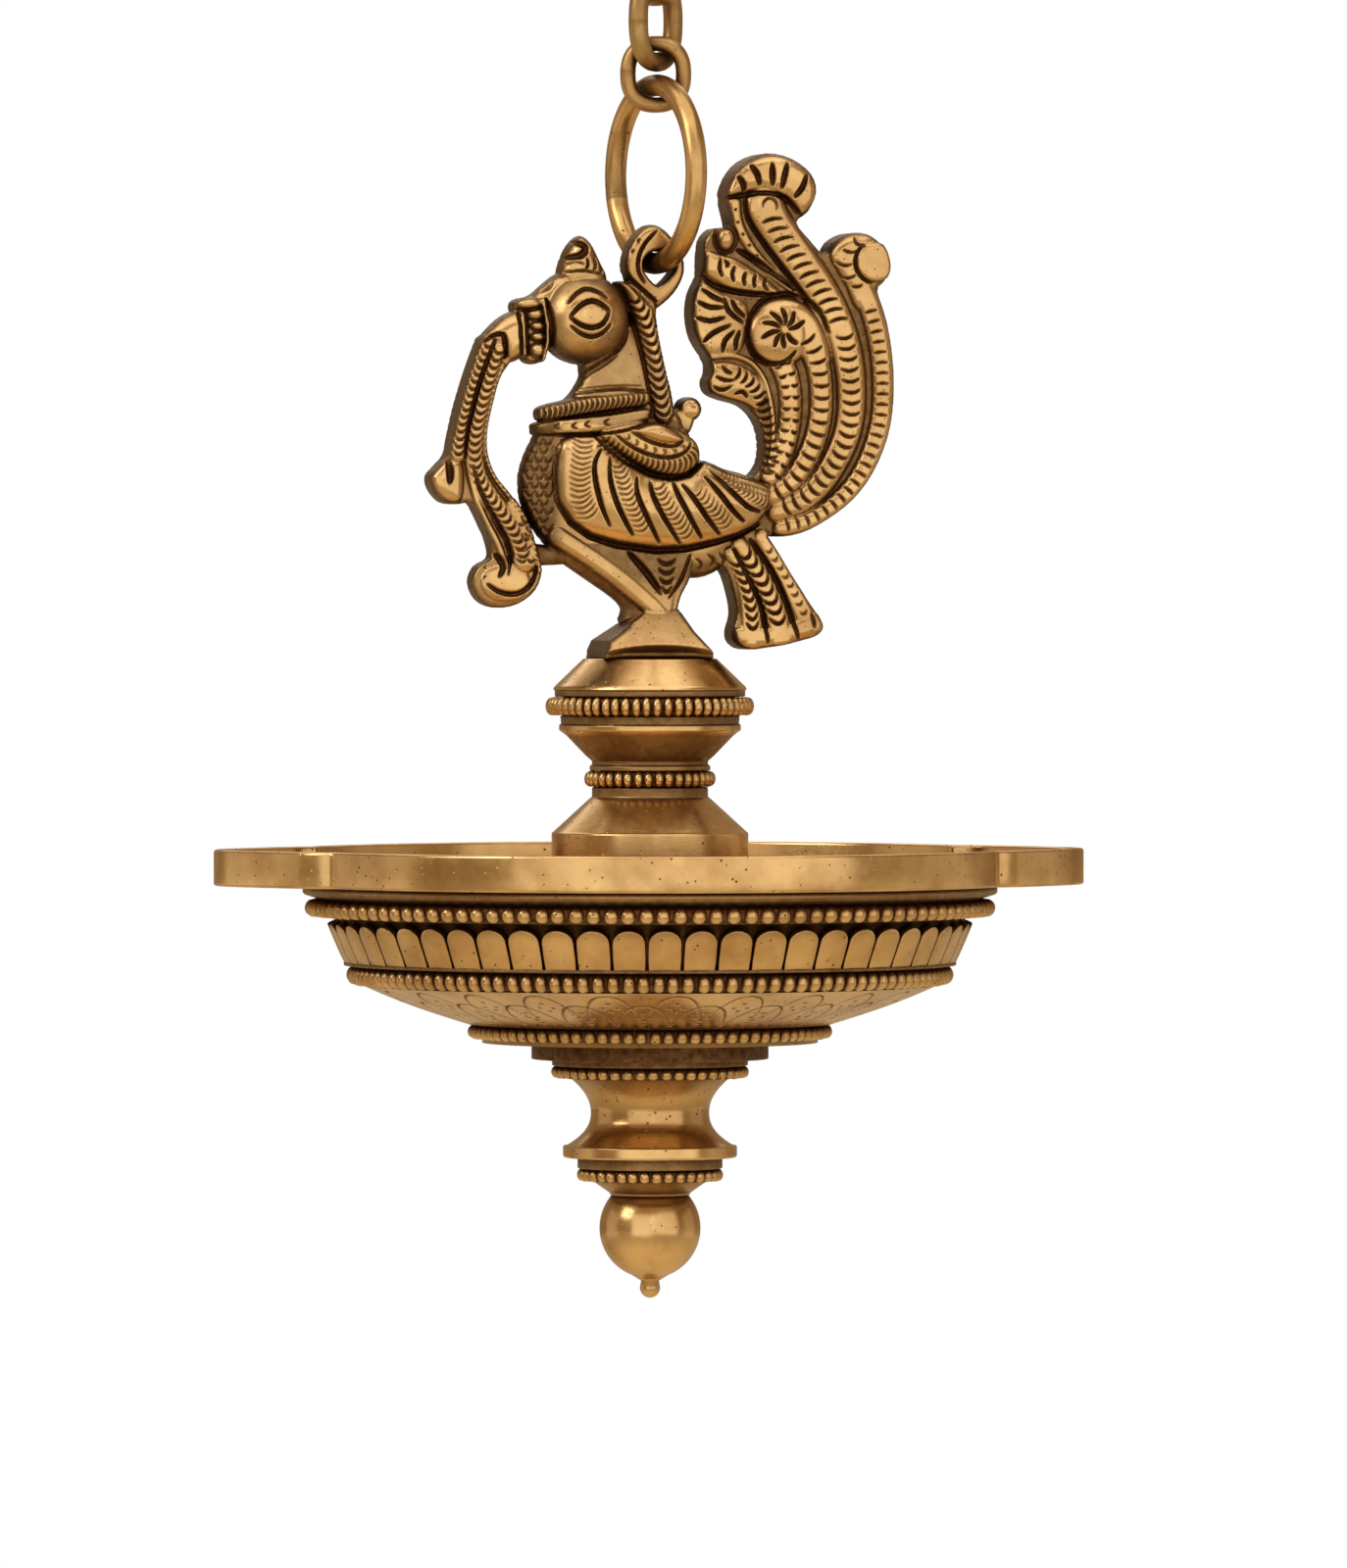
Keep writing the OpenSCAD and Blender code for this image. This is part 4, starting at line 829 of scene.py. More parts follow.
LEG = [(-26, 29), (-24.4, 25.6), (-16.5, 20), (-10, 15.5), (-7.6, 12.6), (-8, 9), (0, 7), (7.6, 9),
       (6.6, 12.6), (7.4, 16.5), (10, 21), (8, 27), (-8, 29)]
STALK = [(4, 58), (9, 57), (11, 61), (10, 64), (6, 63.5), (3, 62)]
WING = [(-24.6, 55.5), (-26, 50), (-26, 44), (-25, 39), (-22, 34.5), (-17, 31.2), (-10, 29.2), (0, 28),
        (8, 28.3), (16, 30), (22, 32), (26.5, 34.8), (29, 38), (30, 42), (29, 43.8), (24, 46.5), (18, 48.2),
        (12.5, 50.5), (8, 47), (0, 46.5), (-8, 51), (-15, 57)]
CAP = [(18.8, 118), (24, 119), (29, 119.4), (34, 117.6), (37.8, 113.2), (41, 116), (41.7, 120), (39.5, 124.3),
       (34.5, 127.5), (29, 128.2), (23, 125.8), (20, 122)]
FOOT = [(-14.3, 0), (14, 0), (14, 1.3), (9.5, 7), (6.5, 12.5), (-2.2, 12.2), (-13, 4.6)]
LUG_EYE = [(1.5, 103.9), (-1.2, 103.1), (-2.8, 100.8), (-2.1, 98), (1.2, 95), (4.8, 98), (5.6, 100.8),
           (4.2, 103.1)]
LEAF_1 = [(12.8, 104), (13, 98.5), (16, 96), (21, 93.5), (27, 92.6), (33, 92.8), (30, 96), (26, 99),
          (21, 102), (17.5, 103)]
LEAF_2 = [(12.4, 96), (18, 93), (24, 90.4), (24, 84), (22.5, 78.5), (18, 76.6), (14.3, 76.8), (11.2, 81.5),
          (10, 87.5), (10.7, 93)]
LEAF_3 = [(14.8, 74.5), (17, 75.8), (22, 75), (27, 72), (29.3, 68), (27, 63.5), (23.5, 64.8), (18.5, 66.2),
          (15, 67.6), (13.9, 70.3)]
PLUME_HEAD = [(25, 83.5), (26, 88), (29, 91), (34, 92), (39, 90.5), (43, 86.5), (45.2, 81), (45.8, 75),
              (40, 74), (36.6, 78.4), (33.6, 76.6), (30, 76.4), (26.6, 79)]
LEG_FACE = [(-25.5, 31.5), (-17, 25.2), (-11, 20.8), (-5, 16), (-2.8, 13.2), (-2, 11.5), (4, 11), (5.4, 16),
            (8, 21), (10, 27), (-8, 30)]
UNDERTAIL_END = [(20.8, 7.5), (21.5, 4), (24.5, 2.6), (31, 3.2), (38, 4.6), (43, 6.4), (43.9, 8.7),
                 (41.8, 12), (36, 9.6), (30, 8.2), (24, 8.6)]
OUTER_HEAD = [(45.4, 102.6), (47, 105.8), (50.5, 108.2), (55, 108.5), (58.5, 106.4), (60.8, 102.4),
              (60.4, 98), (57.6, 94.8), (57.2, 90), (52.6, 89), (49.6, 95), (47.2, 99.2)]
GARLAND_LEAF = [(-53.7, 50.8), (-56.5, 48.2), (-57.8, 46), (-56.8, 42.8), (-54, 40.2), (-51, 39.6),
                (-49.6, 41.5), (-49.3, 46), (-50, 50)]
CAPE_LEAF = [(-6, 58), (-3, 56.3), (1, 55), (5, 54.8), (6.5, 56), (3, 58.5), (-1, 59.8)]
# The foot's face slopes out to a bowed lower edge, with a sunk band and a lip below
FOOT_HALF, FOOT_EDGE_V, FOOT_EDGE_SAG, FOOT_EDGE_U = 14.3, 3.7, 1.6, 14
FOOT_LIP_V, FOOT_LIP_IN, FOOT_SLOPE, FOOT_UNDER, FOOT_BROWN = 1.3, 1.4, 0.88, 0.9, 0.7
HEAD_AT, HEAD_R, HEAD_CLIP = (-17.6, 86.4), 12.3, 11.5
# Painted shade darkens the head towards its underside, the breast in front of the wing towards its left, and
# the thigh towards its top; the neck is made browner all over
HEAD_SHADE_V, HEAD_FADE, HEAD_SHADE, NECK_BROWN = 81.5, 6, 0.85, 0.4
BREAST_U, BREAST_FADE, BREAST_SHADE = -23.5, 3, 0.8
LEG_LEVEL, LEG_V, LEG_FADE, LEG_SHADE = 6.8, 13, 8, 0.7
ROSETTE_AT, ROSETTE_R = (32.3, 82.6), 8.3
TAIL_DISC_AT, TAIL_DISC_R = (57.2, 101.2), 5.1
KNOB_AT, KNOB_R = (9.7, 63.6), 3.1
TAIL_BEAD_AT = (18.4, 107)
PETAL_MIDDLE = np.array([33.2, 83.8])

# Plumes of the tail: path and half width at its two ends
PLUMES = [([(33, 33.2), (40, 35), (46.4, 38.8), (52.3, 44.7), (56.4, 52.3), (58.9, 61), (59.4, 71),
            (58.4, 81), (56, 90), (52.4, 97.5)], 2.6, 3.3),
          ([(28.5, 115.5), (31.2, 110.5), (35.4, 104.8), (39.6, 99), (43.6, 93.2), (46.9, 87), (49.4, 80.5),
            (50.9, 73), (51.2, 65), (50.2, 58), (47.8, 52), (43.5, 45), (38, 40), (32, 37.5)], 5.2, 3.2),
          ([(30.5, 41.5), (35.5, 45), (39.6, 51), (42.3, 58), (43.3, 66), (42.3, 75), (38.5, 82),
            (33, 84.5)], 2.9, 3.6),
          ([(29.8, 46), (32.6, 50.5), (34.6, 57), (35.3, 64), (34.6, 71), (32.6, 76)], 2.6, 3.5)]
LEAF_RIM = [(14.8, 76.8), (20, 77.2), (25, 75.4), (28.4, 71), (30, 65.5), (30.7, 60), (30.6, 54), (29.4, 48)]
DOTTED_STRIP = [(20.6, 116), (21.4, 111), (24.6, 105), (29.6, 99.3), (34.5, 94.8), (38.6, 91.6)]
# Strips of the undertail: path, half width at its two ends, base and crown
UNDERTAIL_STRIPS = [
    ([(19.5, 27), (22.4, 22.5), (24.5, 15), (25.2, 8.5), (25, 4.8)], 1.8, 3.4, 5.6, 1.7),
    ([(22, 29), (25, 24.5), (27.5, 20.5), (31, 13), (32.8, 6.5), (33, 4.8)], 2.4, 3.4, 5.6, 2.0),
    ([(28, 31), (34.3, 20.5), (38.8, 11.5), (40.6, 7.6)], 2.2, 2.8, 5.8, 1.2),
]


def near_box(points, low, high, margin):
    """Which points lie within a box grown by a margin."""
    return np.flatnonzero(((points > low - margin) & (points < high + margin)).all(1))


def to_line(points, line):
    """Distance from each point to a line of points, and how far along it that is, from 0 to 1."""
    best = np.full(len(points), np.inf)
    share = np.zeros(len(points))
    for k in range(len(line) - 1):
        a, d = line[k], line[k + 1] - line[k]
        t = np.clip((points - a) @ d / max(d @ d, 1e-9), 0, 1)
        far = np.hypot(*(points - a - t[:, None] * d).T)
        nearer = far < best
        best[nearer] = far[nearer]
        share[nearer] = (k + t[nearer]) / (len(line) - 1)
    return best, share


def depth_in(points, outline, smooth=True):
    """How deep each point lies inside a closed outline; negative outside."""
    line = spline(outline, 3, closed=True) if smooth else np.asarray(outline, float)
    depth = np.full(len(points), OUTSIDE)
    near = near_box(points, line.min(0), line.max(0), 2.0)
    p = points[near]
    ring = np.vstack([line, line[:1]])
    inside = np.zeros(len(p), bool)
    for (ax, ay), (bx, by) in zip(ring[:-1], ring[1:]):
        if ay != by:
            inside ^= ((p[:, 1] < ay) != (p[:, 1] < by)) & (
                p[:, 0] < (bx - ax) * (p[:, 1] - ay) / (by - ay) + ax)
    depth[near] = np.where(inside, 1, -1) * to_line(p, ring)[0]
    return depth


SLABS = [TAIL, UNDERTAIL, GARLAND, TIE, BEAK, HALTER, BROW, CREST, TRUNK, NECK, ROPE, BAND, MANE, LUG, LEG,
         STALK]


def silhouette(points):
    """Depth inside the whole bird's outline."""
    depth = depth_in(points, FOOT, smooth=False)
    for outline in SLABS:
        depth = np.maximum(depth, depth_in(points, outline))
    for at, r in ((HEAD_AT, HEAD_CLIP), (KNOB_AT, KNOB_R)):
        depth = np.maximum(depth, r - np.hypot(*(points - at).T))
    return np.minimum(depth, -depth_in(points, LUG_EYE))


def arch(x):
    """A quarter of an ellipse: 0 at an edge, 1 from one width inside it."""
    return np.sqrt(1 - (1 - np.clip(x, 0, 1)) ** 2)


# Share of its width that a cut keeps at its ends
BLUNT = 0.45


class Relief:
    """Half thickness of the casting at many points, built up from forms and then cut."""

    def __init__(self, points):
        self.points = points
        self.height = np.zeros(len(points))
        self.cut = np.zeros(len(points))
        self.oxide_and_shade = np.zeros(len(points))

    def raise_to(self, where, height):
        """Raises points to a height, where they lie lower."""
        self.height[where] = np.maximum(self.height[where], height)

    def form(self, outline, base, crown, width, wrap=None):
        """A swelling inside an outline; wrap says where along u it turns round the body, and how far."""
        depth = depth_in(self.points, outline)
        where = np.flatnonzero(depth > -0.05)
        height = base + crown * arch(depth[where] / width)
        if wrap:
            height *= arch(1 + (self.points[where, 0] - wrap[0]) / wrap[1])
        self.raise_to(where, height)

    def strip(self, path, half_w, base, crown, end_w=None):
        """A rounded ridge along a path."""
        line = spline(path)
        end_w = end_w or half_w
        near = near_box(self.points, line.min(0), line.max(0), max(half_w, end_w))
        far, share = to_line(self.points[near], line)
        x = far / (half_w + (end_w - half_w) * share)
        within = x < 1
        self.raise_to(near[within], base + crown * np.sqrt(1 - x[within] ** 2.2))

    def darken_ground(self, outline, level, share):
        """Darkens the low ground inside an outline: oxide between the forms, and painted shade on the low
        slopes of the trunk and leg.
        """
        ground = np.flatnonzero((depth_in(self.points, outline) > 0.6) & (self.height < level))
        low = np.clip((level - self.height[ground]) / 0.6, 0, 1)
        self.oxide_and_shade[ground] = np.maximum(self.oxide_and_shade[ground], share * low)

    def dome(self, at, r_u, r_v, base, crown):
        """A round or oval swelling."""
        x = np.hypot((self.points[:, 0] - at[0]) / r_u, (self.points[:, 1] - at[1]) / r_v)
        where = np.flatnonzero(x < 1)
        self.raise_to(where, base + crown * np.sqrt(1 - x[where] ** 2))

    def disc(self, at, r, base, crown, width):
        """A flat disc with a rounded edge."""
        depth = r - np.hypot(*(self.points - at).T)
        where = np.flatnonzero(depth > 0)
        self.raise_to(where, base + crown * arch(depth[where] / width))

    def lift(self, at, r_u, r_v, rise):
        """Raises what is there by a low mound."""
        x = np.hypot((self.points[:, 0] - at[0]) / r_u, (self.points[:, 1] - at[1]) / r_v)
        where = np.flatnonzero(x < 1)
        self.height[where] += rise * (1 - x[where] ** 2)

    def stroke(self, path, half_w=0.5, deep=0.9, blunt=BLUNT):
        """A cut along a path that thins towards its ends; blunt is the share of its width left there."""
        line = spline(path, 3) if 2 < len(path) < 7 else np.asarray(path, float)
        near = near_box(self.points, line.min(0), line.max(0), half_w)
        far, share = to_line(self.points[near], line)
        full = blunt + (1 - blunt) * np.sqrt(np.sin(math.pi * np.clip(share, 0, 1)).clip(0))
        x = far / (half_w * full)
        within = x < 1
        near = near[within]
        self.cut[near] = np.maximum(self.cut[near], deep * full[within] * (1 - x[within] ** 2))

    def strokes(self, rows):
        """Cuts along several paths, each with its half width and depth."""
        for path, half_w, deep in rows:
            self.stroke(path, half_w, deep)

    def alike(self, paths, half_w, deep, blunt=BLUNT):
        """Cuts of one half width and depth along several paths."""
        for path in paths:
            self.stroke(path, half_w, deep, blunt)

    def arc(self, at, r_u, r_v, first, last, half_w, deep):
        """A cut along part of an ellipse."""
        a = np.radians(np.linspace(first, last, 17))
        self.stroke(np.stack([at[0] + r_u * np.cos(a), at[1] + r_v * np.sin(a)], 1), half_w, deep)

    def along(self, path, every):
        """Places at even distances along a path, with the direction there."""
        line = spline(path, 8)
        far = np.concatenate([[0], np.cumsum(np.hypot(*np.diff(line, axis=0).T))])
        at = np.arange(every / 2, far[-1], every)
        places, ahead, behind = (np.stack([np.interp(at + d, far, line[:, k]) for k in (0, 1)], 1)
                                 for d in (0, 0.2, -0.2))
        run = ahead - behind
        return zip(places, run / np.hypot(*run.T)[:, None])

    def bowed(self, place, half, bow, half_w, deep):
        """One bowed cut: half of its length to each side, and its rise in the middle."""
        t = np.linspace(-1, 1, 7)[:, None]
        self.stroke(place + half * t + bow * (0.5 - t ** 2), half_w, deep)

    def ticks(self, path, every, half_len, bow=0.6, half_w=0.42, deep=0.8, lean=0.0, aside=0.0):
        """Short bowed cuts across a path, or a little aside of it."""
        for place, run in self.along(path, every):
            across = np.array([-run[1], run[0]]) + lean * run
            self.bowed(place + across * aside, across * half_len, run * bow, half_w, deep)

    def beads(self, path, every, r, rise):
        """A row of low mounds along a path."""
        for place, _ in self.along(path, every):
            self.lift(place, r, r, rise)

    def dots(self, path, every, r, deep):
        """A row of round pricks along a path."""
        for place, _ in self.along(path, every):
            self.stroke([place, place + 0.05], r, deep, 1)


# Forms of the bird: outline, height of the edge, rise to the crown and the width over which it rises
FORMS = [
    (TAIL, 5.6, 0.5, 2), (UNDERTAIL, 5.6, 0.5, 2), (GARLAND, 4.4, 0.4, 2), (TIE, 1.8, 1.4, 2.5),
    (BEAK, 2.6, 4.0, 5), (HALTER, 2.6, 3.0, 4), (BROW, 2.4, 3.6, 5), (CREST, 2.0, 4.6, 5),
    (TRUNK, 2.4, 4.4, 9), (NECK, 2.0, 5.2, 9), (CAPE, 8.4, 2.4, 4), (MANE, 3.6, 4.0, 2.8),
    (LUG, 3.8, 1.6, 2.5), (STALK, 3.4, 1.6, 2), (LEG, 0.8, 5.2, 9), (LEG_FACE, 5.6, 1.0, 2.5),
    (WING, 7.2, 5.2, 15), (CAP, 6.4, 1.9, 3.5), (LEAF_1, 5.8, 2.0, 3.6), (LEAF_2, 5.8, 1.9, 6),
    (LEAF_3, 5.8, 1.9, 6), (PLUME_HEAD, 5.8, 2.6, 4), (UNDERTAIL_END, 5.8, 1.5, 2.5),
    (OUTER_HEAD, 5.9, 2.3, 3.5), (GARLAND_LEAF, 4.6, 2.2, 3.5), (CAPE_LEAF, 10.2, 1.7, 2)]
# Grounds that stay dark: outline, the height below which they do, and the share of oxide; on the trunk and
# leg this is painted shade on their low slopes
GROUNDS = [(TAIL, 6.7, 0.75), (UNDERTAIL, 6.5, 0.75), (TIE, 4.2, 0.8), (TRUNK, 6.3, 0.7), (LEG, 5.6, 0.8)]
# Feathers of the wing: path, half length of a barb and the distance between barbs
FEATHERS = [
    ([(-19.2, 56.2), (-19.9, 52), (-20.4, 48), (-20.4, 44), (-20, 40.5), (-17.9, 36)], 2.6, 1.4),
    ([(-10.4, 50), (-9.3, 46), (-8.3, 42), (-6.7, 38.3), (-4.8, 34.3), (-3.9, 32.5)], 2.0, 1.45),
    ([(-0.2, 44.5), (0.9, 41.3), (3.4, 37.3), (6, 33.4), (8.2, 31)], 2.2, 1.45),
    ([(9.6, 42.8), (12.7, 39.6), (15.8, 36.4), (18.2, 33.4)], 2.2, 1.4),
    ([(16, 47.5), (19, 45.2), (22, 43.2), (26, 40.9), (29, 39)], 1.8, 1.2)]
# Petals of the rosette: angle in degrees and length
ROSETTE_PETALS = [(12, 5.6), (48, 5.2), (84, 5.4), (118, 5.6), (152, 5.8), (190, 6.2), (226, 5.0),
                  (256, 4.6), (300, 4.8)]


def bird_forms(relief):
    """The masses of the bird, from the lowest ground to the fullest swellings."""
    for outline, base, crown, width in FORMS:
        relief.form(outline, base, crown, width)
    relief.form(ROPE, 6.6, 2.2, 2.0, wrap=(-17, 13.8))
    relief.form(BAND, 7.6, 1.5, 1.8, wrap=(-17, 14.6))
    for path, half_w, end_w in PLUMES:
        relief.strip(path, half_w, 5.8, 2.6, end_w)
    relief.strip(DOTTED_STRIP, 1.9, 5.9, 1.5, 0.6)
    relief.strip(LEAF_RIM, 0.8, 5.9, 1.3)
    for path, half_w, end_w, base, crown in UNDERTAIL_STRIPS:
        relief.strip(path, half_w, base, crown, end_w)
    relief.strip([(9.8, 26), (7.6, 20), (5.2, 14.5), (4.6, 11)], 1.5, 4.6, 1.3)
    relief.strip([(-25, 31.2), (-16, 25.4), (-8, 19.6), (-1, 13.6), (1, 11.4)], 2.6, 5.8, 1.5)
    relief.dome(ROSETTE_AT, ROSETTE_R, ROSETTE_R, 6.2, 3.6)
    relief.disc(TAIL_DISC_AT, TAIL_DISC_R, 7.6, 1.2, 1.1)
    relief.dome(KNOB_AT, KNOB_R, KNOB_R, 3.6, 2.0)
    relief.dome(TAIL_BEAD_AT, 2.3, 3.0, 5.8, 2.4)
    u, v = relief.points.T
    far = np.hypot(u - HEAD_AT[0], v - HEAD_AT[1])
    head = np.flatnonzero(far < HEAD_CLIP)
    relief.raise_to(head, np.sqrt(HEAD_R ** 2 - far[head] ** 2))
    # Painted shade: the head darkens towards its underside
    relief.oxide_and_shade[head] = np.clip((HEAD_SHADE_V - v[head]) / HEAD_FADE, 0, HEAD_SHADE)
    neck = np.flatnonzero(depth_in(relief.points, NECK) > 0)
    relief.oxide_and_shade[neck] = np.maximum(relief.oxide_and_shade[neck], NECK_BROWN)
    for (at_u, at_v), r_u, r_v in HALTER_BEADS:
        relief.dome((at_u, at_v), r_u, r_v, 4.8, 3.2)
    relief.strip([(-29, 91), (-28.1, 86), (-27.8, 81), (-28.8, 76)], 0.8, 5.2, 1.4)
    relief.strip([(-34.3, 88.4), (-33.9, 83), (-33.6, 77.5)], 0.6, 4.8, 1.0)
    relief.dome((-32.4, 90.3), 3.6, 1.7, 4.4, 2.8)
    foot = np.flatnonzero(depth_in(relief.points, FOOT, smooth=False) > -0.05)
    edge = FOOT_EDGE_V - FOOT_EDGE_SAG * (u[foot] / FOOT_EDGE_U) ** 2
    above = v[foot] - edge
    wedge = FOOT_HALF - np.where(above > 0, FOOT_SLOPE * above, -FOOT_UNDER * above)
    relief.raise_to(foot, np.where(v[foot] < FOOT_LIP_V, FOOT_HALF - FOOT_LIP_IN, wedge))
    relief.oxide_and_shade[foot] = np.clip(-1.5 * above, 0, FOOT_BROWN)
    # Painted shade: the breast in front of the wing darkens towards its left
    breast = np.flatnonzero((depth_in(relief.points, TRUNK) > 0) & (u < BREAST_U))
    relief.oxide_and_shade[breast] = np.maximum(relief.oxide_and_shade[breast],
                                      BREAST_SHADE * np.clip((BREAST_U - u[breast]) / BREAST_FADE, 0, 1))
    # Painted shade: the low ground of the thigh darkens towards its top, under the wing
    thigh = np.flatnonzero((depth_in(relief.points, LEG) > 0) & (relief.height < LEG_LEVEL))
    relief.oxide_and_shade[thigh] = np.maximum(relief.oxide_and_shade[thigh],
                                     LEG_SHADE * np.clip((v[thigh] - LEG_V) / LEG_FADE, 0, 1))
    for outline, level, share in GROUNDS:
        relief.darken_ground(outline, level, share)


def tail_work(relief):
    """Chasing on the tail fan."""
    relief.ticks(PLUMES[0][0][:-1], 2.7, 1.6, 0.15, 0.42, 0.9, aside=0.5)
    relief.ticks([(29.5, 113), (33, 106.9), (37, 101.4), (40.8, 96.4), (44.8, 91), (48.3, 85)], 2.8, 2.5,
                 -0.5, 0.5, 1.0, lean=0.3)
    relief.arc((29.6, 115.4), 1.9, 1.9, -30, 190, 0.42, 0.8)
    relief.ticks([(49, 83.4), (50.1, 77), (50.8, 69), (50.8, 63), (49.8, 57), (47.6, 51.5), (43.6, 45.8),
                  (38.5, 41), (33, 38)], 2.8, 2.3, 0.8, 0.48, 1.0)
    relief.ticks([(30.5, 41.5), (35.5, 45), (39.6, 51), (42.3, 58), (43.2, 66), (42.8, 73), (41, 79),
                  (37.8, 83.6)], 3.1, 2.2, -0.5, 0.48, 1.0)
    for aside in (-1.35, 1.35):
        relief.ticks(PLUMES[3][0], 2.9, 1.0, -0.3, 0.45, 1.0, aside=aside)
    relief.strokes([
        ([(21.5, 104.2), (26, 101.6), (31, 98), (36.5, 94)], 1.0, 2.0),
        ([(12, 98), (15, 95.3), (20, 93.7), (27, 92.9), (35, 92.6)], 0.8, 1.7),
        ([(23.4, 117.4), (24.3, 112), (29, 105), (34, 98.6), (38.6, 92.8), (42.6, 88)], 0.7, 1.4),
        ([(36.4, 110.6), (40.3, 105.2), (44.6, 100.4)], 0.35, 0.6)
    ])
    relief.dots(DOTTED_STRIP, 3.3, 0.42, 0.8)
    relief.arc(TAIL_BEAD_AT, 2.9, 3.6, 0, 360, 0.55, 1.0)
    relief.arc(TAIL_DISC_AT, 5.4, 5.4, 125, 262, 0.5, 1.2)
    relief.stroke([(45, 83), (42.6, 88.6), (38, 92.1), (32.5, 93), (27.6, 91), (24.6, 87)], 0.75, 1.5)
    relief.stroke([(24.6, 87), (24, 82.5), (25.6, 77.8), (29.5, 75.2), (33.4, 75.6), (36.2, 78.4)], 0.75, 1.5)
    for degrees, far in ROSETTE_PETALS:
        a = math.radians(degrees)
        out = np.array([math.cos(a), math.sin(a)])
        side = np.array([-out[1], out[0]])
        petal = [PETAL_MIDDLE + 1.1 * out, PETAL_MIDDLE + 0.6 * far * out + 0.1 * side,
                 PETAL_MIDDLE + far * out + 1.1 * side]
        relief.stroke(petal, 0.7, 1.3, 0.4)
    relief.alike([
        [(51.7, 107.5), (52.3, 105.8), (54.6, 105.2)], [(48.7, 104.3), (50.5, 103.6), (52.2, 103.8)],
        [(46.8, 101.2), (49, 100.2), (51, 100.6)], [(48.7, 97.2), (50.3, 97), (52, 97.8)],
        [(51, 94.9), (52.5, 94.8), (53.7, 95.3)]
    ], 0.42, 0.9)
    relief.alike([
        [(21.3, 123), (22.6, 121), (23, 119)], [(24.6, 125.8), (26.2, 123.5), (27, 120.6)],
        [(30.2, 126.4), (30.3, 120.5)], [(34.2, 126.4), (33.4, 123), (32.7, 119.8)],
        [(39.4, 123.6), (38, 120), (36, 117.6)]
    ], 0.85, 1.5, 0.3)
    relief.stroke([(18.5, 117.3), (23, 118), (28.5, 118.7), (34, 117.3), (37.5, 113.5)], 0.75, 1.5)
    relief.alike([
        [(20.5, 100), (19.8, 98), (20.3, 96)], [(23.5, 98.5), (22.8, 96.8), (23.2, 95)],
        [(26.2, 98), (25.5, 96.2), (25.8, 94.5)], [(29, 97), (28.2, 95.2), (29.4, 93.8)],
        [(17, 102), (16.5, 99.5), (17.3, 97.3)], [(18, 101.5), (18.8, 100.5), (18.2, 99.8)]
    ], 0.55, 1.1)
    relief.alike([
        [(11, 91), (14, 89.5), (18, 89.5)], [(10.5, 87), (14, 86), (18, 87)],
        [(12.5, 80.5), (15, 83), (19.5, 85)], [(17.5, 78), (18, 81), (20.5, 83.5)],
        [(21, 78.5), (21, 81), (22, 83.5)], [(18, 92), (19, 88.5), (23, 85.5)],
        [(20, 91.5), (21, 89), (23.5, 87)], [(12, 94.2), (15, 92.2), (18, 91)]
    ], 0.7, 1.4, 0.3)
    relief.ticks([(20.6, 73), (24.4, 70.6), (27.4, 66.4), (29.3, 60), (29.9, 53), (29, 47.5)], 2.0, 1.7,
                 0.5, 0.48, 1.1)
    relief.alike([
        [(15, 69.4), (17.2, 68.4), (19.8, 69.4)], [(15.6, 72), (18, 70.9), (20.6, 71)],
        [(17.4, 74.6), (18.6, 73.2), (20, 72.6)], [(20.5, 67.4), (22.6, 68), (24, 66.4)]
    ], 0.55, 1.1, 0.3)
    for shift in (0, 1.6, 3.2):
        relief.stroke([(12.5, 50.3 - shift), (18, 47.6 - shift), (24, 45.8 - shift), (29.5, 44.4 - shift)],
                      0.4, 0.6)


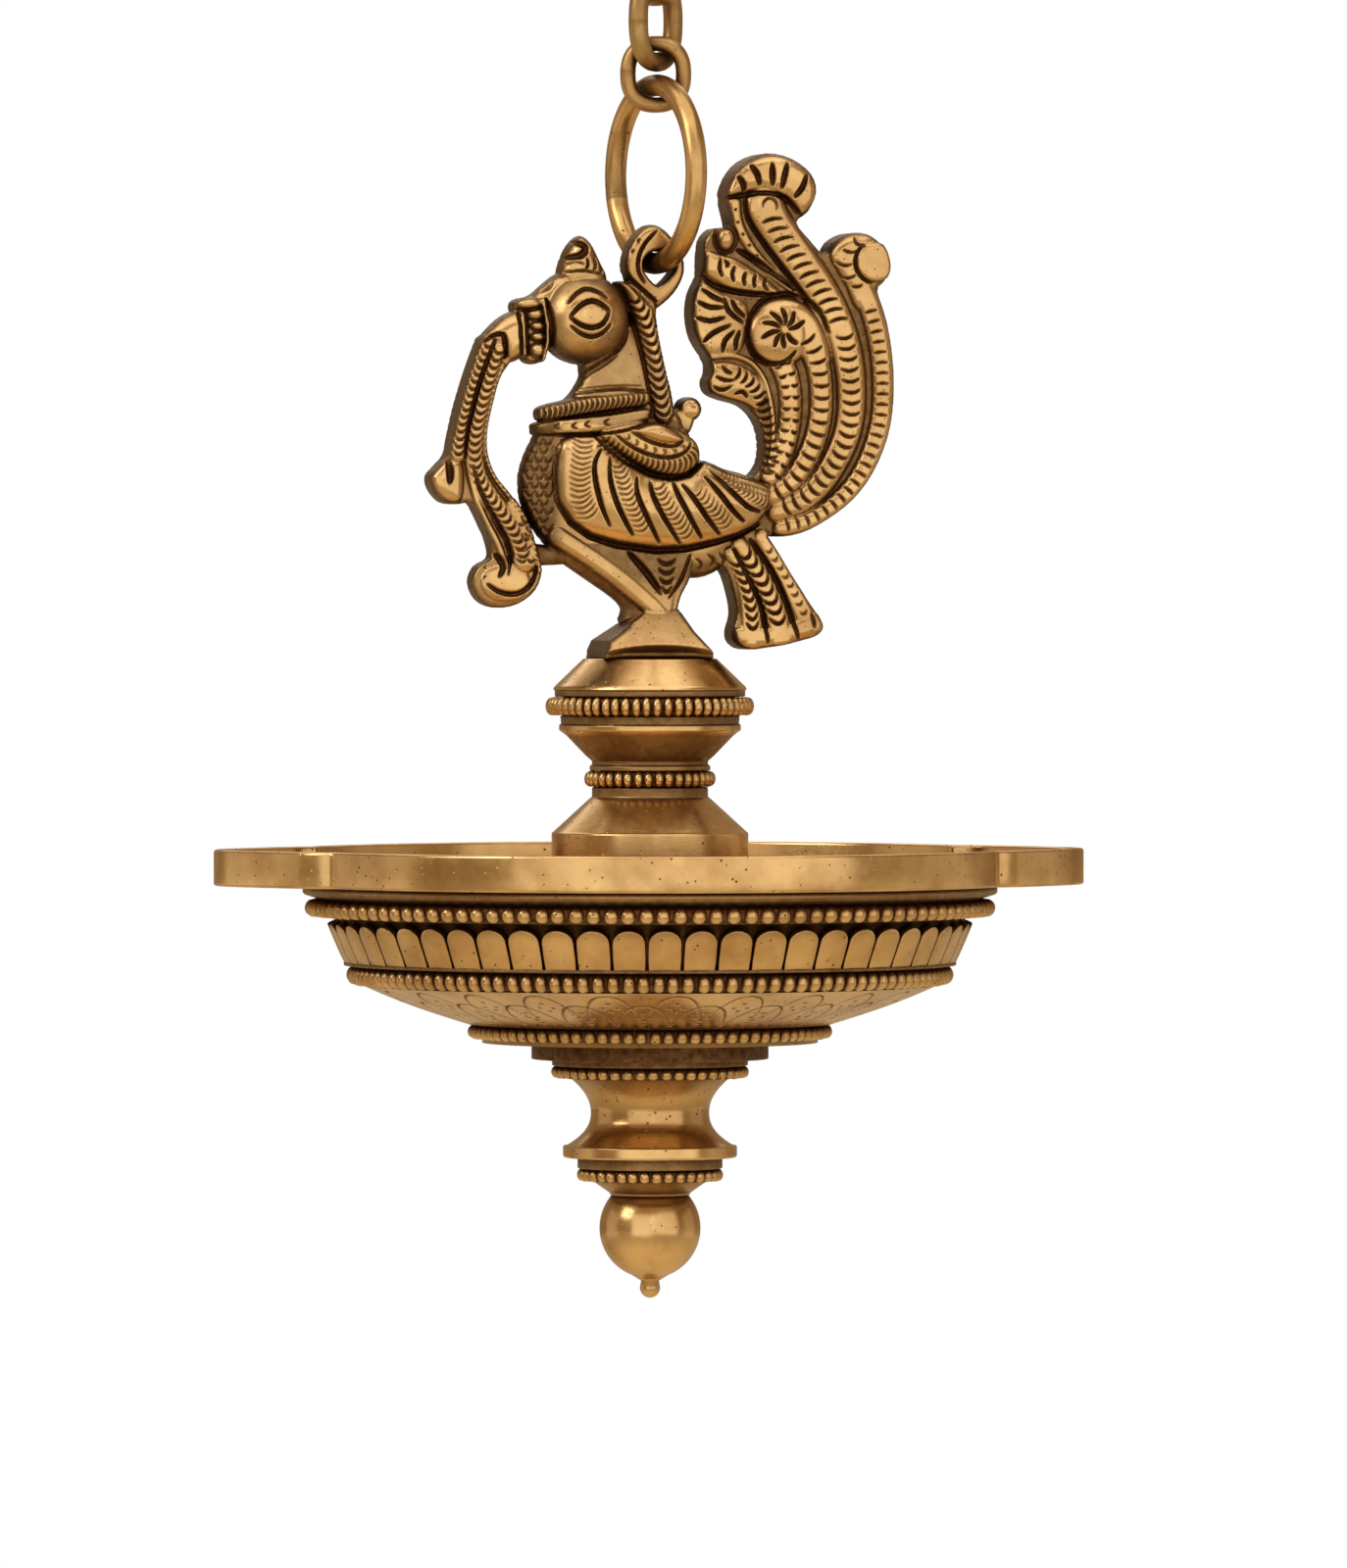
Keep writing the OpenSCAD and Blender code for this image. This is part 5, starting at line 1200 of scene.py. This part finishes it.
def garland_work(relief):
    """The strands of the garland that hangs from the beak, and their chasing."""
    outer = [(-43, 80.5), (-45.5, 74), (-48, 67), (-50, 60), (-50.8, 54), (-50.9, 51.5)]
    inner = [(-40.3, 79), (-42.3, 73), (-44.5, 66), (-46, 60), (-46.8, 54), (-46, 47), (-43, 41.5),
             (-38.8, 36), (-35.5, 30.5), (-33.6, 25)]
    edge = [(-39.3, 74.5), (-41.2, 69), (-42.6, 63), (-43.6, 57), (-43.5, 51.5), (-41.6, 46.5),
            (-37.8, 41.5), (-34.3, 37), (-31.8, 31.5), (-30.7, 27), (-29.7, 22.5)]
    relief.strip(outer, 1.9, 4.9, 1.8)
    relief.strip(inner, 1.8, 4.9, 1.8, 3.2)
    relief.strip(edge, 0.8, 4.6, 0.9)
    relief.strip([(-48.4, 50.5), (-47.6, 46), (-45.9, 40), (-43.7, 35), (-41.2, 30.5), (-39.7, 27),
                  (-38.7, 23.5)], 1.0, 4.6, 1.5)
    relief.strip([(-36.4, 39), (-34.4, 35), (-32.8, 30.5), (-32.2, 26)], 2.0, 4.9, 1.4)
    relief.dome((-38.6, 19.6), 6.5, 5.0, 4.8, 1.4)
    relief.darken_ground(GARLAND, 5.3, 0.45)
    relief.ticks(outer, 1.9, 1.4, 1.0, 0.45, 0.9)
    relief.ticks(inner, 2.0, 1.6, 1.1, 0.45, 0.9)
    relief.beads(edge, 1.5, 0.7, 0.5)
    relief.strokes([
        ([(-41.3, 81.5), (-43.4, 76), (-45.5, 70), (-47.3, 63), (-48.6, 57), (-49.2, 51)], 0.7, 1.5),
        ([(-47.1, 49), (-45.6, 43.5), (-43.4, 39), (-40.7, 34.5), (-38.4, 30.5), (-37.1, 26.5),
          (-37.9, 21.4)], 0.75, 1.5),
        ([(-53.5, 50.8), (-53.1, 47.5), (-53.2, 44.6)], 1.15, 1.7),
        ([(-35.3, 34.3), (-34.1, 34), (-33.3, 34.8)], 0.35, 0.7),
        ([(-33.8, 32), (-32.8, 31), (-31.2, 31.5)], 0.35, 0.7),
        ([(-35.8, 27.5), (-33.6, 27.6), (-32, 28.8)], 0.35, 0.7),
        ([(-36, 25.4), (-34.4, 24.5), (-33.3, 25.4)], 0.4, 0.8),
        ([(-33.3, 25.4), (-32, 24.6), (-30.8, 25.3)], 0.4, 0.8),
        ([(-43.3, 19), (-40.5, 17.1), (-37, 16.4), (-33.8, 17.3), (-31.3, 20), (-30.6, 23.3)], 0.75, 1.4),
        ([(-41.3, 26.6), (-39.7, 25), (-39.2, 23), (-40.3, 20.9)], 0.95, 1.5),
        ([(-43.9, 23.4), (-43.7, 23.3)], 0.7, 0.9), ([(-44.1, 20.8), (-43.9, 20.7)], 0.7, 0.9)
    ])


def head_work(relief):
    """Chasing on the head, the crest, the halter and the beak."""
    relief.strokes([
        ([(-23, 86.8), (-20.5, 89.6), (-17.5, 90.9), (-14.8, 90), (-12.7, 88.4)], 0.8, 1.5),
        ([(-23, 86.8), (-20.5, 84.9), (-17.5, 84.1), (-14.6, 85.2), (-12.7, 88.4)], 0.75, 1.5),
        ([(-23.4, 90.2), (-21.3, 92.6), (-18.5, 94), (-15.5, 93.2), (-13, 91.6)], 0.65, 1.2),
        ([(-22.8, 84.6), (-20.4, 82.7), (-17.5, 81.8), (-14.6, 82.8), (-12.4, 85.2)], 0.65, 1.2),
        ([(-6.8, 84), (-8.5, 80), (-12.5, 76.2), (-17.5, 73.2), (-18.6, 71)], 0.6, 1.0),
        ([(-10, 77.3), (-13, 75), (-18, 71.5)], 0.45, 0.8),
        ([(-29.5, 93.2), (-27.3, 94.2), (-26.2, 96)], 0.5, 0.8),
        ([(-27.5, 96.3), (-25, 97.3), (-23, 97.2)], 0.5, 0.8),
        ([(-11, 97.5), (-8.5, 94), (-7, 90), (-6.3, 86)], 0.7, 1.2),
        ([(-35.2, 88.6), (-34.8, 83), (-34.4, 77.2)], 0.6, 1.6),
        ([(-29.7, 90), (-29, 86), (-28.7, 81), (-29.5, 76.4)], 0.45, 1.4),
        ([(-33.4, 89), (-33, 83), (-32.8, 77)], 0.5, 1.4),
        ([(-28.2, 91.6), (-27.1, 86), (-26.8, 81), (-27.8, 76)], 0.7, 1.8),
        ([(-36, 88.8), (-33, 88.5), (-29, 89.2)], 0.5, 1.2),
        ([(-44.6, 80.3), (-42, 82), (-39.4, 82.4), (-38.7, 79.5), (-38.6, 76.5)], 0.75, 1.6),
        ([(-20.7, 105.9), (-18.4, 105.1), (-18, 103.7), (-19.8, 102.3), (-23, 102)], 1.15, 2.0),
        ([(-23.2, 100.2), (-20.6, 100.9), (-18.4, 100.3)], 0.4, 0.8),
        ([(-23.6, 98.2), (-18.5, 98.6), (-13, 97.8)], 0.45, 0.9),
        ([(-17.6, 101.9), (-17.4, 100.2), (-18, 98.8)], 0.5, 1.0),
        ([(-15.6, 102), (-15.2, 100.2), (-15.8, 98.6)], 0.5, 1.0),
        ([(-13.9, 100.8), (-13.4, 99.4), (-13.8, 98)], 0.5, 1.0)
    ])


def neck_work(relief):
    """Chasing on the neck, the mane, the lug and the collar."""
    relief.ticks([(-5.8, 92.5), (-3.1, 87), (-1, 81), (0.1, 76), (0.8, 71), (1.3, 66.5), (2.3, 62.5)], 2.3,
                 2.1, 1.8, 0.5, 1.1)
    rope = [(-29.3, 61.6), (-25, 63), (-20, 64.1), (-14, 65), (-8, 65.7), (-3.4, 66.2)]
    relief.ticks(rope, 1.35, 1.7, 0.4, 0.45, 0.9, lean=0.35)
    relief.strokes([
        ([(-20, 68.3), (-14, 69), (-8, 69.3), (-3.5, 69.2)], 0.5, 0.6),
        ([(-20, 67.6), (-14, 68.3), (-8, 68.6), (-2.5, 68)], 0.6, 1.0),
        ([(-8.3, 93), (-5.8, 86.5), (-4, 80), (-2.4, 73), (-1.3, 67), (-0.3, 62)], 0.6, 1.2),
        ([(-1.6, 91), (0, 87), (1.3, 82), (2.5, 76), (3.5, 71), (4.2, 66.5), (4.8, 63.5)], 0.4, 0.9),
        ([(0.8, 109), (-2.4, 105.6), (-4, 102), (-4, 98.6), (-2.4, 95.6)], 0.6, 1.3),
        ([(-7.3, 98.6), (-5.2, 95.6), (0.6, 90.8)], 0.65, 1.4),
        ([(-6.9, 95.4), (-4.5, 92.8), (-1.2, 89.4)], 0.5, 1.0), ([(-3.8, 107), (-4, 105.7)], 0.5, 0.8),
        ([(-5.3, 104.1), (-5.6, 103.2)], 0.5, 0.8),
        ([(-29.5, 60.2), (-20, 61.6), (-12, 62.3), (-3, 63.9)], 0.5, 1.3),
        ([(-31, 56.8), (-24, 57), (-16, 57), (-8, 58.2), (-2.5, 60.2)], 0.5, 1.3)
    ])
    for u, v in ((-25.5, 59), (-21.3, 59.2), (-18, 59.6), (-13, 60.1)):
        relief.stroke([(u + 0.7, v + 0.9), (u - 0.6, v), (u + 0.7, v - 0.9)], 0.4, 0.8)
    for at in ((8.6, 65.3), (9.6, 64.4)):
        relief.stroke([at, (at[0] + 1.3, at[1] - 0.5)], 0.25, 0.4)
    relief.stroke([(5.2, 62.9), (6.6, 60.5), (7, 58)], 0.4, 0.6)


def wing_work(relief):
    """Chasing on the cape, the wing and the breast."""
    relief.ticks([(-14.5, 55.5), (-9, 51.8), (-3, 49.3), (3, 48.8), (8, 50.2), (10.6, 53)], 1.5, 2.0, 0.7,
                 0.36, 0.8, lean=0.25)
    relief.ticks([(-9, 57), (-5, 54.2), (0, 52.6), (5, 52.8), (8, 55)], 2.6, 0.9, 0.8, 0.4, 0.6)
    relief.strokes([
        ([(-17, 57.5), (-13, 53.6), (-8, 50), (-2, 47), (4, 45.8), (8.5, 46.8), (11.5, 49.5)], 0.7, 1.5),
        ([(-11, 57), (-7, 54), (-2, 51.8), (3, 51.2), (7, 52.6), (8.6, 55)], 0.6, 1.2),
        ([(-7, 57.8), (-3, 55.6), (1, 54.3), (4.5, 54.2), (6.5, 55.6)], 0.5, 1.0),
        ([(-24.4, 55.8), (-26.1, 50), (-26.2, 44), (-25.3, 39.5), (-22, 34.6)], 0.5, 0.7),
        ([(-25.3, 39.5), (-22, 34.6), (-17, 31.2), (-10, 29), (0, 27.6), (8, 28), (16, 29.8), (22, 31.6),
          (27, 34.3)], 0.95, 1.7)
    ])
    relief.alike([
        [(-14.6, 53.4), (-16.6, 50), (-16.6, 45.5), (-15, 39), (-12.4, 33.5)],
        [(-12.4, 51.3), (-12.7, 46), (-11.2, 40), (-8.6, 34.8), (-6.4, 31.3)],
        [(-5.4, 46.3), (-5.6, 42), (-3.4, 36.5), (0.6, 29.3)],
        [(-2, 45), (-1.4, 41.5), (1.2, 36), (6.1, 29)], [(4.2, 45), (5, 42), (8, 36), (11.6, 30.5)],
        [(6.3, 44.4), (9, 41), (12.4, 36), (16.3, 31.5)],
        [(12, 46.5), (15.4, 42.6), (19, 38), (22.6, 34.8)], [(14, 47.5), (18, 43.6), (23, 38.8), (27, 37.5)]
    ], 0.72, 1.6, 0.3)
    for path, half_len, every in FEATHERS:
        relief.ticks(path, every, half_len, 1.1, 0.3, 0.6)
    for row, v in enumerate(np.arange(31, 57, 2.2)):
        for u in np.arange(-33.4, -26.6, 2.3) + 1.15 * (row % 2):
            relief.bowed(np.array([u, v]), np.array([1.25, 0]), np.array([0, -1.7]), 0.42, 0.8)


def leg_work(relief):
    """Chasing on the thigh, the leg and the undertail."""
    relief.strokes([
        ([(-7, 27.2), (-2.3, 22), (1.6, 16.6)], 1.0, 1.9),
        ([(9.2, 26.6), (7, 20.5), (3.6, 15.4)], 0.6, 1.2),
        ([(20.3, 28), (24.3, 20.5), (27.8, 13), (29.3, 4)], 0.75, 1.6),
        ([(24.8, 30.5), (30.3, 22.5), (34.3, 14), (37.3, 5)], 0.75, 1.6),
        ([(40.8, 11.5), (41.6, 7.8)], 0.6, 1.0), ([(10.6, 25.6), (12.2, 24.2), (11.6, 22.6)], 0.4, 0.8),
        ([(13.6, 26.6), (15.4, 25.2), (14.8, 23.4)], 0.4, 0.8), ([(16.8, 27), (18, 25), (17, 23)], 0.4, 0.8)
    ])
    for v, half in ((24.7, 2.3), (22.3, 2.1), (19.9, 1.8), (17.6, 1.3)):
        relief.bowed(np.array([3, v]), np.array([half, 0]), np.array([0, -1.3]), 0.6, 1.1)
    relief.ticks([(20.6, 25.5), (22.5, 22), (24.6, 15), (25.4, 8)], 2.4, 1.6, 1.7, 0.5, 1.1)
    relief.ticks([(22.6, 27.5), (25, 24.5), (27.5, 20.5), (31, 13), (32.2, 8.5)], 2.7, 2.2, 1.8, 0.55, 1.2)
    relief.ticks([(29, 28.5), (34.3, 20.5), (38.8, 11.5)], 2.6, 0.9, 0.7, 0.4, 0.7)


def make_bird():
    """The casting: a worked face, its mirror on the other side and a plain wall between them."""
    count = np.ceil((BIRD_HIGH - BIRD_LOW) / CELL).astype(int)
    axes = [BIRD_LOW[k] + CELL * np.arange(count[k] + 1) for k in (0, 1)]
    grid = np.stack(np.meshgrid(*axes, indexing="ij"), 2)
    depth = silhouette(grid.reshape(-1, 2)).reshape(grid.shape[:2])
    keep = (depth[:-1, :-1] + depth[1:, :-1] + depth[1:, 1:] + depth[:-1, 1:]) > 0
    # Cells that meet only at a corner get a neighbour, so that the wall between the faces stays whole
    for _ in range(2):
        a, b, c, d = keep[:-1, :-1], keep[1:, :-1], keep[1:, 1:], keep[:-1, 1:]
        keep[1:, :-1] |= a & c & ~b & ~d
        a, b, c, d = keep[:-1, :-1], keep[1:, :-1], keep[1:, 1:], keep[:-1, 1:]
        keep[:-1, :-1] |= b & d & ~a & ~c
    i, j = np.nonzero(keep)
    columns = grid.shape[1]
    cells = np.stack([i * columns + j, (i + 1) * columns + j, (i + 1) * columns + j + 1,
                      i * columns + j + 1], 1)
    used, cells = np.unique(cells, return_inverse=True)
    cells = cells.reshape(-1, 4)
    points = grid.reshape(-1, 2)[used]
    rim = rim_edges(cells, len(points))
    edge = np.unique(rim)
    points[edge] = to_contour(points[edge])
    relief = Relief(points)
    for work in (bird_forms, tail_work, garland_work, head_work, neck_work, wing_work, leg_work):
        work(relief)
    far = to_points(points, points[edge])
    close = np.clip(EDGE_ROUND - far, 0, EDGE_ROUND)
    height = relief.height - relief.cut - (EDGE_ROUND - np.sqrt(EDGE_ROUND ** 2 - close ** 2))
    height = np.maximum(height, LEAST_HEIGHT)
    oxide_and_shade = np.maximum(np.clip(relief.cut / FULL_CUT, 0, 1) ** 1.2, relief.oxide_and_shade)
    cast_from(points, cells, rim, edge, height, oxide_and_shade)


def rim_edges(cells, count):
    """The edges that belong to one cell only, each in its cell's order."""
    sides = np.concatenate([cells[:, [k, (k + 1) % 4]] for k in range(4)])
    key = sides.min(1) * count + sides.max(1)
    _, first, times = np.unique(key, return_index=True, return_counts=True)
    return sides[first[times == 1]]


def to_contour(points):
    """Moves points near the bird's outline onto it."""
    for _ in range(2):
        depth = silhouette(points)
        tilt = np.stack([silhouette(points + shift) - depth for shift in ((0.02, 0), (0, 0.02))], 1)
        tilt /= np.maximum(np.linalg.norm(tilt, axis=1), 1e-6)[:, None]
        points = points - np.clip(depth, -0.6 * CELL, 0.6 * CELL)[:, None] * tilt
    return points


def to_points(points, marks):
    """Distance from each point to the nearest of the marks."""
    tree = kdtree.KDTree(len(marks))
    for k, (u, v) in enumerate(marks):
        tree.insert((u, v, 0), k)
    tree.balance()
    return np.array([tree.find((u, v, 0))[2] for u, v in points])


def cast_from(points, cells, rim, edge, height, oxide_and_shade):
    """Builds the bird's mesh from its worked face."""
    n = len(points)
    front = np.stack([points[:, 0], -height, points[:, 1]], 1)
    back = front * [1, -1, 1]
    rows = [front, back]
    level = np.zeros((WALL_STEPS + 1, n), int)
    level[0] = np.arange(n)
    level[-1] = n + np.arange(n)
    for k in range(1, WALL_STEPS):
        level[k][edge] = 2 * n + (k - 1) * len(edge) + np.arange(len(edge))
        rows.append(front[edge] * [1, 1 - 2 * k / WALL_STEPS, 1])
    walls = [np.stack([level[k][rim[:, 1]], level[k][rim[:, 0]], level[k + 1][rim[:, 0]],
                       level[k + 1][rim[:, 1]]], 1) for k in range(WALL_STEPS)]
    faces = np.concatenate([cells, cells[:, ::-1] + n] + walls)
    place = np.concatenate(rows)
    c, s = math.cos(BIRD_TURN), math.sin(BIRD_TURN)
    world = np.stack([AXIS[0] + c * place[:, 0] - s * place[:, 1],
                      AXIS[1] + s * place[:, 0] + c * place[:, 1], SEAT_Z + place[:, 2]], 1)
    bird = add_piece("cast_bird", world, faces.tolist(), "lamp", "bird", "cast_brass", CAST, CAST_SIDE)
    index = np.zeros(len(faces), np.int32)
    index[2 * len(cells):] = 1
    bird.data.polygons.foreach_set("material_index", index)
    share = np.zeros(len(world))
    normals = np.zeros(3 * len(world), np.float32)
    bird.data.vertex_normals.foreach_get("vector", normals)
    # Painted shade: the faces darken where they slope away from the face direction
    facing = np.abs(normals.reshape(-1, 3) @ [-s, c, 0])
    steep = np.clip((STEEP_FROM - facing) / (STEEP_FROM - STEEP_TO), 0, 1)
    share[:2 * n] = np.maximum(np.tile(oxide_and_shade, 2), STEEP_SHADE * steep[:2 * n])
    mark_oxide_and_shade(bird, share)


# Hidden fixings keep the shape of the model and take a finish
def finish_fixings():
    for node, material in (("tie_rod", STEEL), ("clamp_washer", STEEL), ("clamp_nut", STEEL),
                           ("oil_seal", LEATHER)):
        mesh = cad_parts[node].data
        mesh.materials.clear()
        mesh.materials.append(material)


# Studio
FLOOR_Z, FLOOR_R, FLOOR_SIDES = -1.75, 12, 96
LAMP_MIDDLE = Vector((0, 0, -0.27))
# Soft boxes: degrees round from the front and up from the level, metres off, width, height and watts
SOFTBOXES = {
    "front_left": (-24, 6, 2.2, 2.0, 2.0, 10.0),
    "front_right": (30, 10, 2.2, 2.6, 2.0, 13.5),
    "left_key": (-68, 34, 2.0, 0.9, 1.1, 11.0),
    "top": (-12, 76, 1.7, 2.4, 2.0, 19.0),
    "back": (180, 40, 1.8, 1.6, 1.0, 6.0),
    "left_fill": (-106, 2, 2.2, 1.5, 1.5, 2.3),
    "right_fill": (98, 2, 2.2, 1.5, 1.5, 1.5),
}
# The view, in millimetres: how far off, how far right of the axis it aims, and its heights over the rim
VIEW_TURN, VIEW_AWAY, AIM_RIGHT, AIM_UP, EYE_UP = math.radians(6), 3500, 6, 16.5, 74
LENS, SENSOR = 315, 36


def make_floor():
    """A floor of pale matt paper, which the metal mirrors warmer than it is."""
    material = bpy.data.materials.new("paper_matt_pale")
    material.use_nodes = True
    tree = material.node_tree
    shader = tree.nodes["Principled BSDF"]
    shader.inputs["Roughness"].default_value = 0.9
    place = add(tree, "TexCoord").outputs["Object"]
    # Paper fibres, about 3 mm long
    fibre = add(tree, "TexNoise", {"Vector": place, "Scale": per_mm(FIBRE_SIZE), "Detail": 3}).outputs[0]
    paper = add(tree, "MixRGB", {0: fibre, 1: linear("#F1EEE8"), 2: linear("#F7F5F1")}).outputs[0]
    mirrored = add(tree, "LightPath").outputs["Is Glossy Ray"]
    colour = add(tree, "MixRGB", {0: mirrored, 1: paper, 2: linear("#CDB896")})
    tree.links.new(colour.outputs[0], shader.inputs["Base Color"])
    turn = np.linspace(0, 2 * math.pi, FLOOR_SIDES, endpoint=False)
    points = [(FLOOR_R * math.cos(a), FLOOR_R * math.sin(a), FLOOR_Z) for a in turn]
    mesh = bpy.data.meshes.new("floor")
    mesh.from_pydata(points, [], [list(range(len(points)))])
    mesh.materials.append(material)
    floor = bpy.data.objects.new("floor", mesh)
    bpy.context.scene.collection.objects.link(floor)


def make_world():
    """A white studio; what the metal mirrors of it is dimmer and warm, as walls beside the lamp are."""
    world = bpy.data.worlds.new("studio")
    bpy.context.scene.world = world
    world.use_nodes = True
    tree = world.node_tree
    tree.nodes.clear()
    ray = add(tree, "LightPath").outputs
    white = add(tree, "Background", {"Color": linear("#FFFFFF"), "Strength": 1.0}).outputs[0]
    paper = add(tree, "Background", {"Color": linear("#FFFFFF"), "Strength": 0.85}).outputs[0]
    room = add(tree, "Background", {"Color": linear("#E4C294"), "Strength": 0.46}).outputs[0]
    lit = add(tree, "MixShader", {0: ray["Is Glossy Ray"], 1: paper, 2: room}).outputs[0]
    mixed = add(tree, "MixShader", {0: ray["Is Camera Ray"], 1: lit, 2: white}).outputs[0]
    add(tree, "OutputWorld", {"Surface": mixed})


def softbox(name, around, up, distance, width, height, watts):
    """A soft box that faces the lamp, at an angle around it from the front and up from the level."""
    light = bpy.data.lights.new(name, "AREA")
    light.shape = "RECTANGLE"
    light.size, light.size_y = width, height
    light.energy = watts
    box = bpy.data.objects.new(name, light)
    bpy.context.scene.collection.objects.link(box)
    around, up = math.radians(around), math.radians(up)
    way = Vector((math.sin(around) * math.cos(up), -math.cos(around) * math.cos(up), math.sin(up)))
    box.location = LAMP_MIDDLE + way * distance
    box.rotation_euler = (-way).to_track_quat("-Z", "Y").to_euler()


def make_lights():
    for name, setting in SOFTBOXES.items():
        softbox(name, *setting)


def make_camera():
    """The photograph's view: 3.5 m off, a little above the rim, turned 6 degrees from the front."""
    c, s = math.cos(VIEW_TURN), math.sin(VIEW_TURN)
    target = np.array([AXIS[0] + AIM_RIGHT * c, AXIS[1] - AIM_RIGHT * s, RIM_Z + AIM_UP])
    eye = np.array([target[0] - VIEW_AWAY * s, target[1] - VIEW_AWAY * c, RIM_Z + EYE_UP])
    data = bpy.data.cameras.new("camera")
    data.lens = LENS
    data.sensor_width = SENSOR
    data.clip_end = 100
    camera = bpy.data.objects.new("camera", data)
    bpy.context.scene.collection.objects.link(camera)
    camera.location = Vector(eye * MM)
    camera.rotation_euler = Vector(target - eye).to_track_quat("-Z", "Y").to_euler()
    bpy.context.scene.camera = camera
    bpy.context.scene.view_settings.view_transform = "Standard"


make_hook()
make_chain()
make_bird()
make_stem_cap()
make_stem_neck()
make_stem_foot()
make_oil_dish()
make_lotus_bowl()
make_drop_spool()
make_drop_collar()
make_ball_finial()
make_bead_rings()
finish_fixings()
make_floor()
make_world()
make_lights()
make_camera()
bpy.context.view_layer.update()
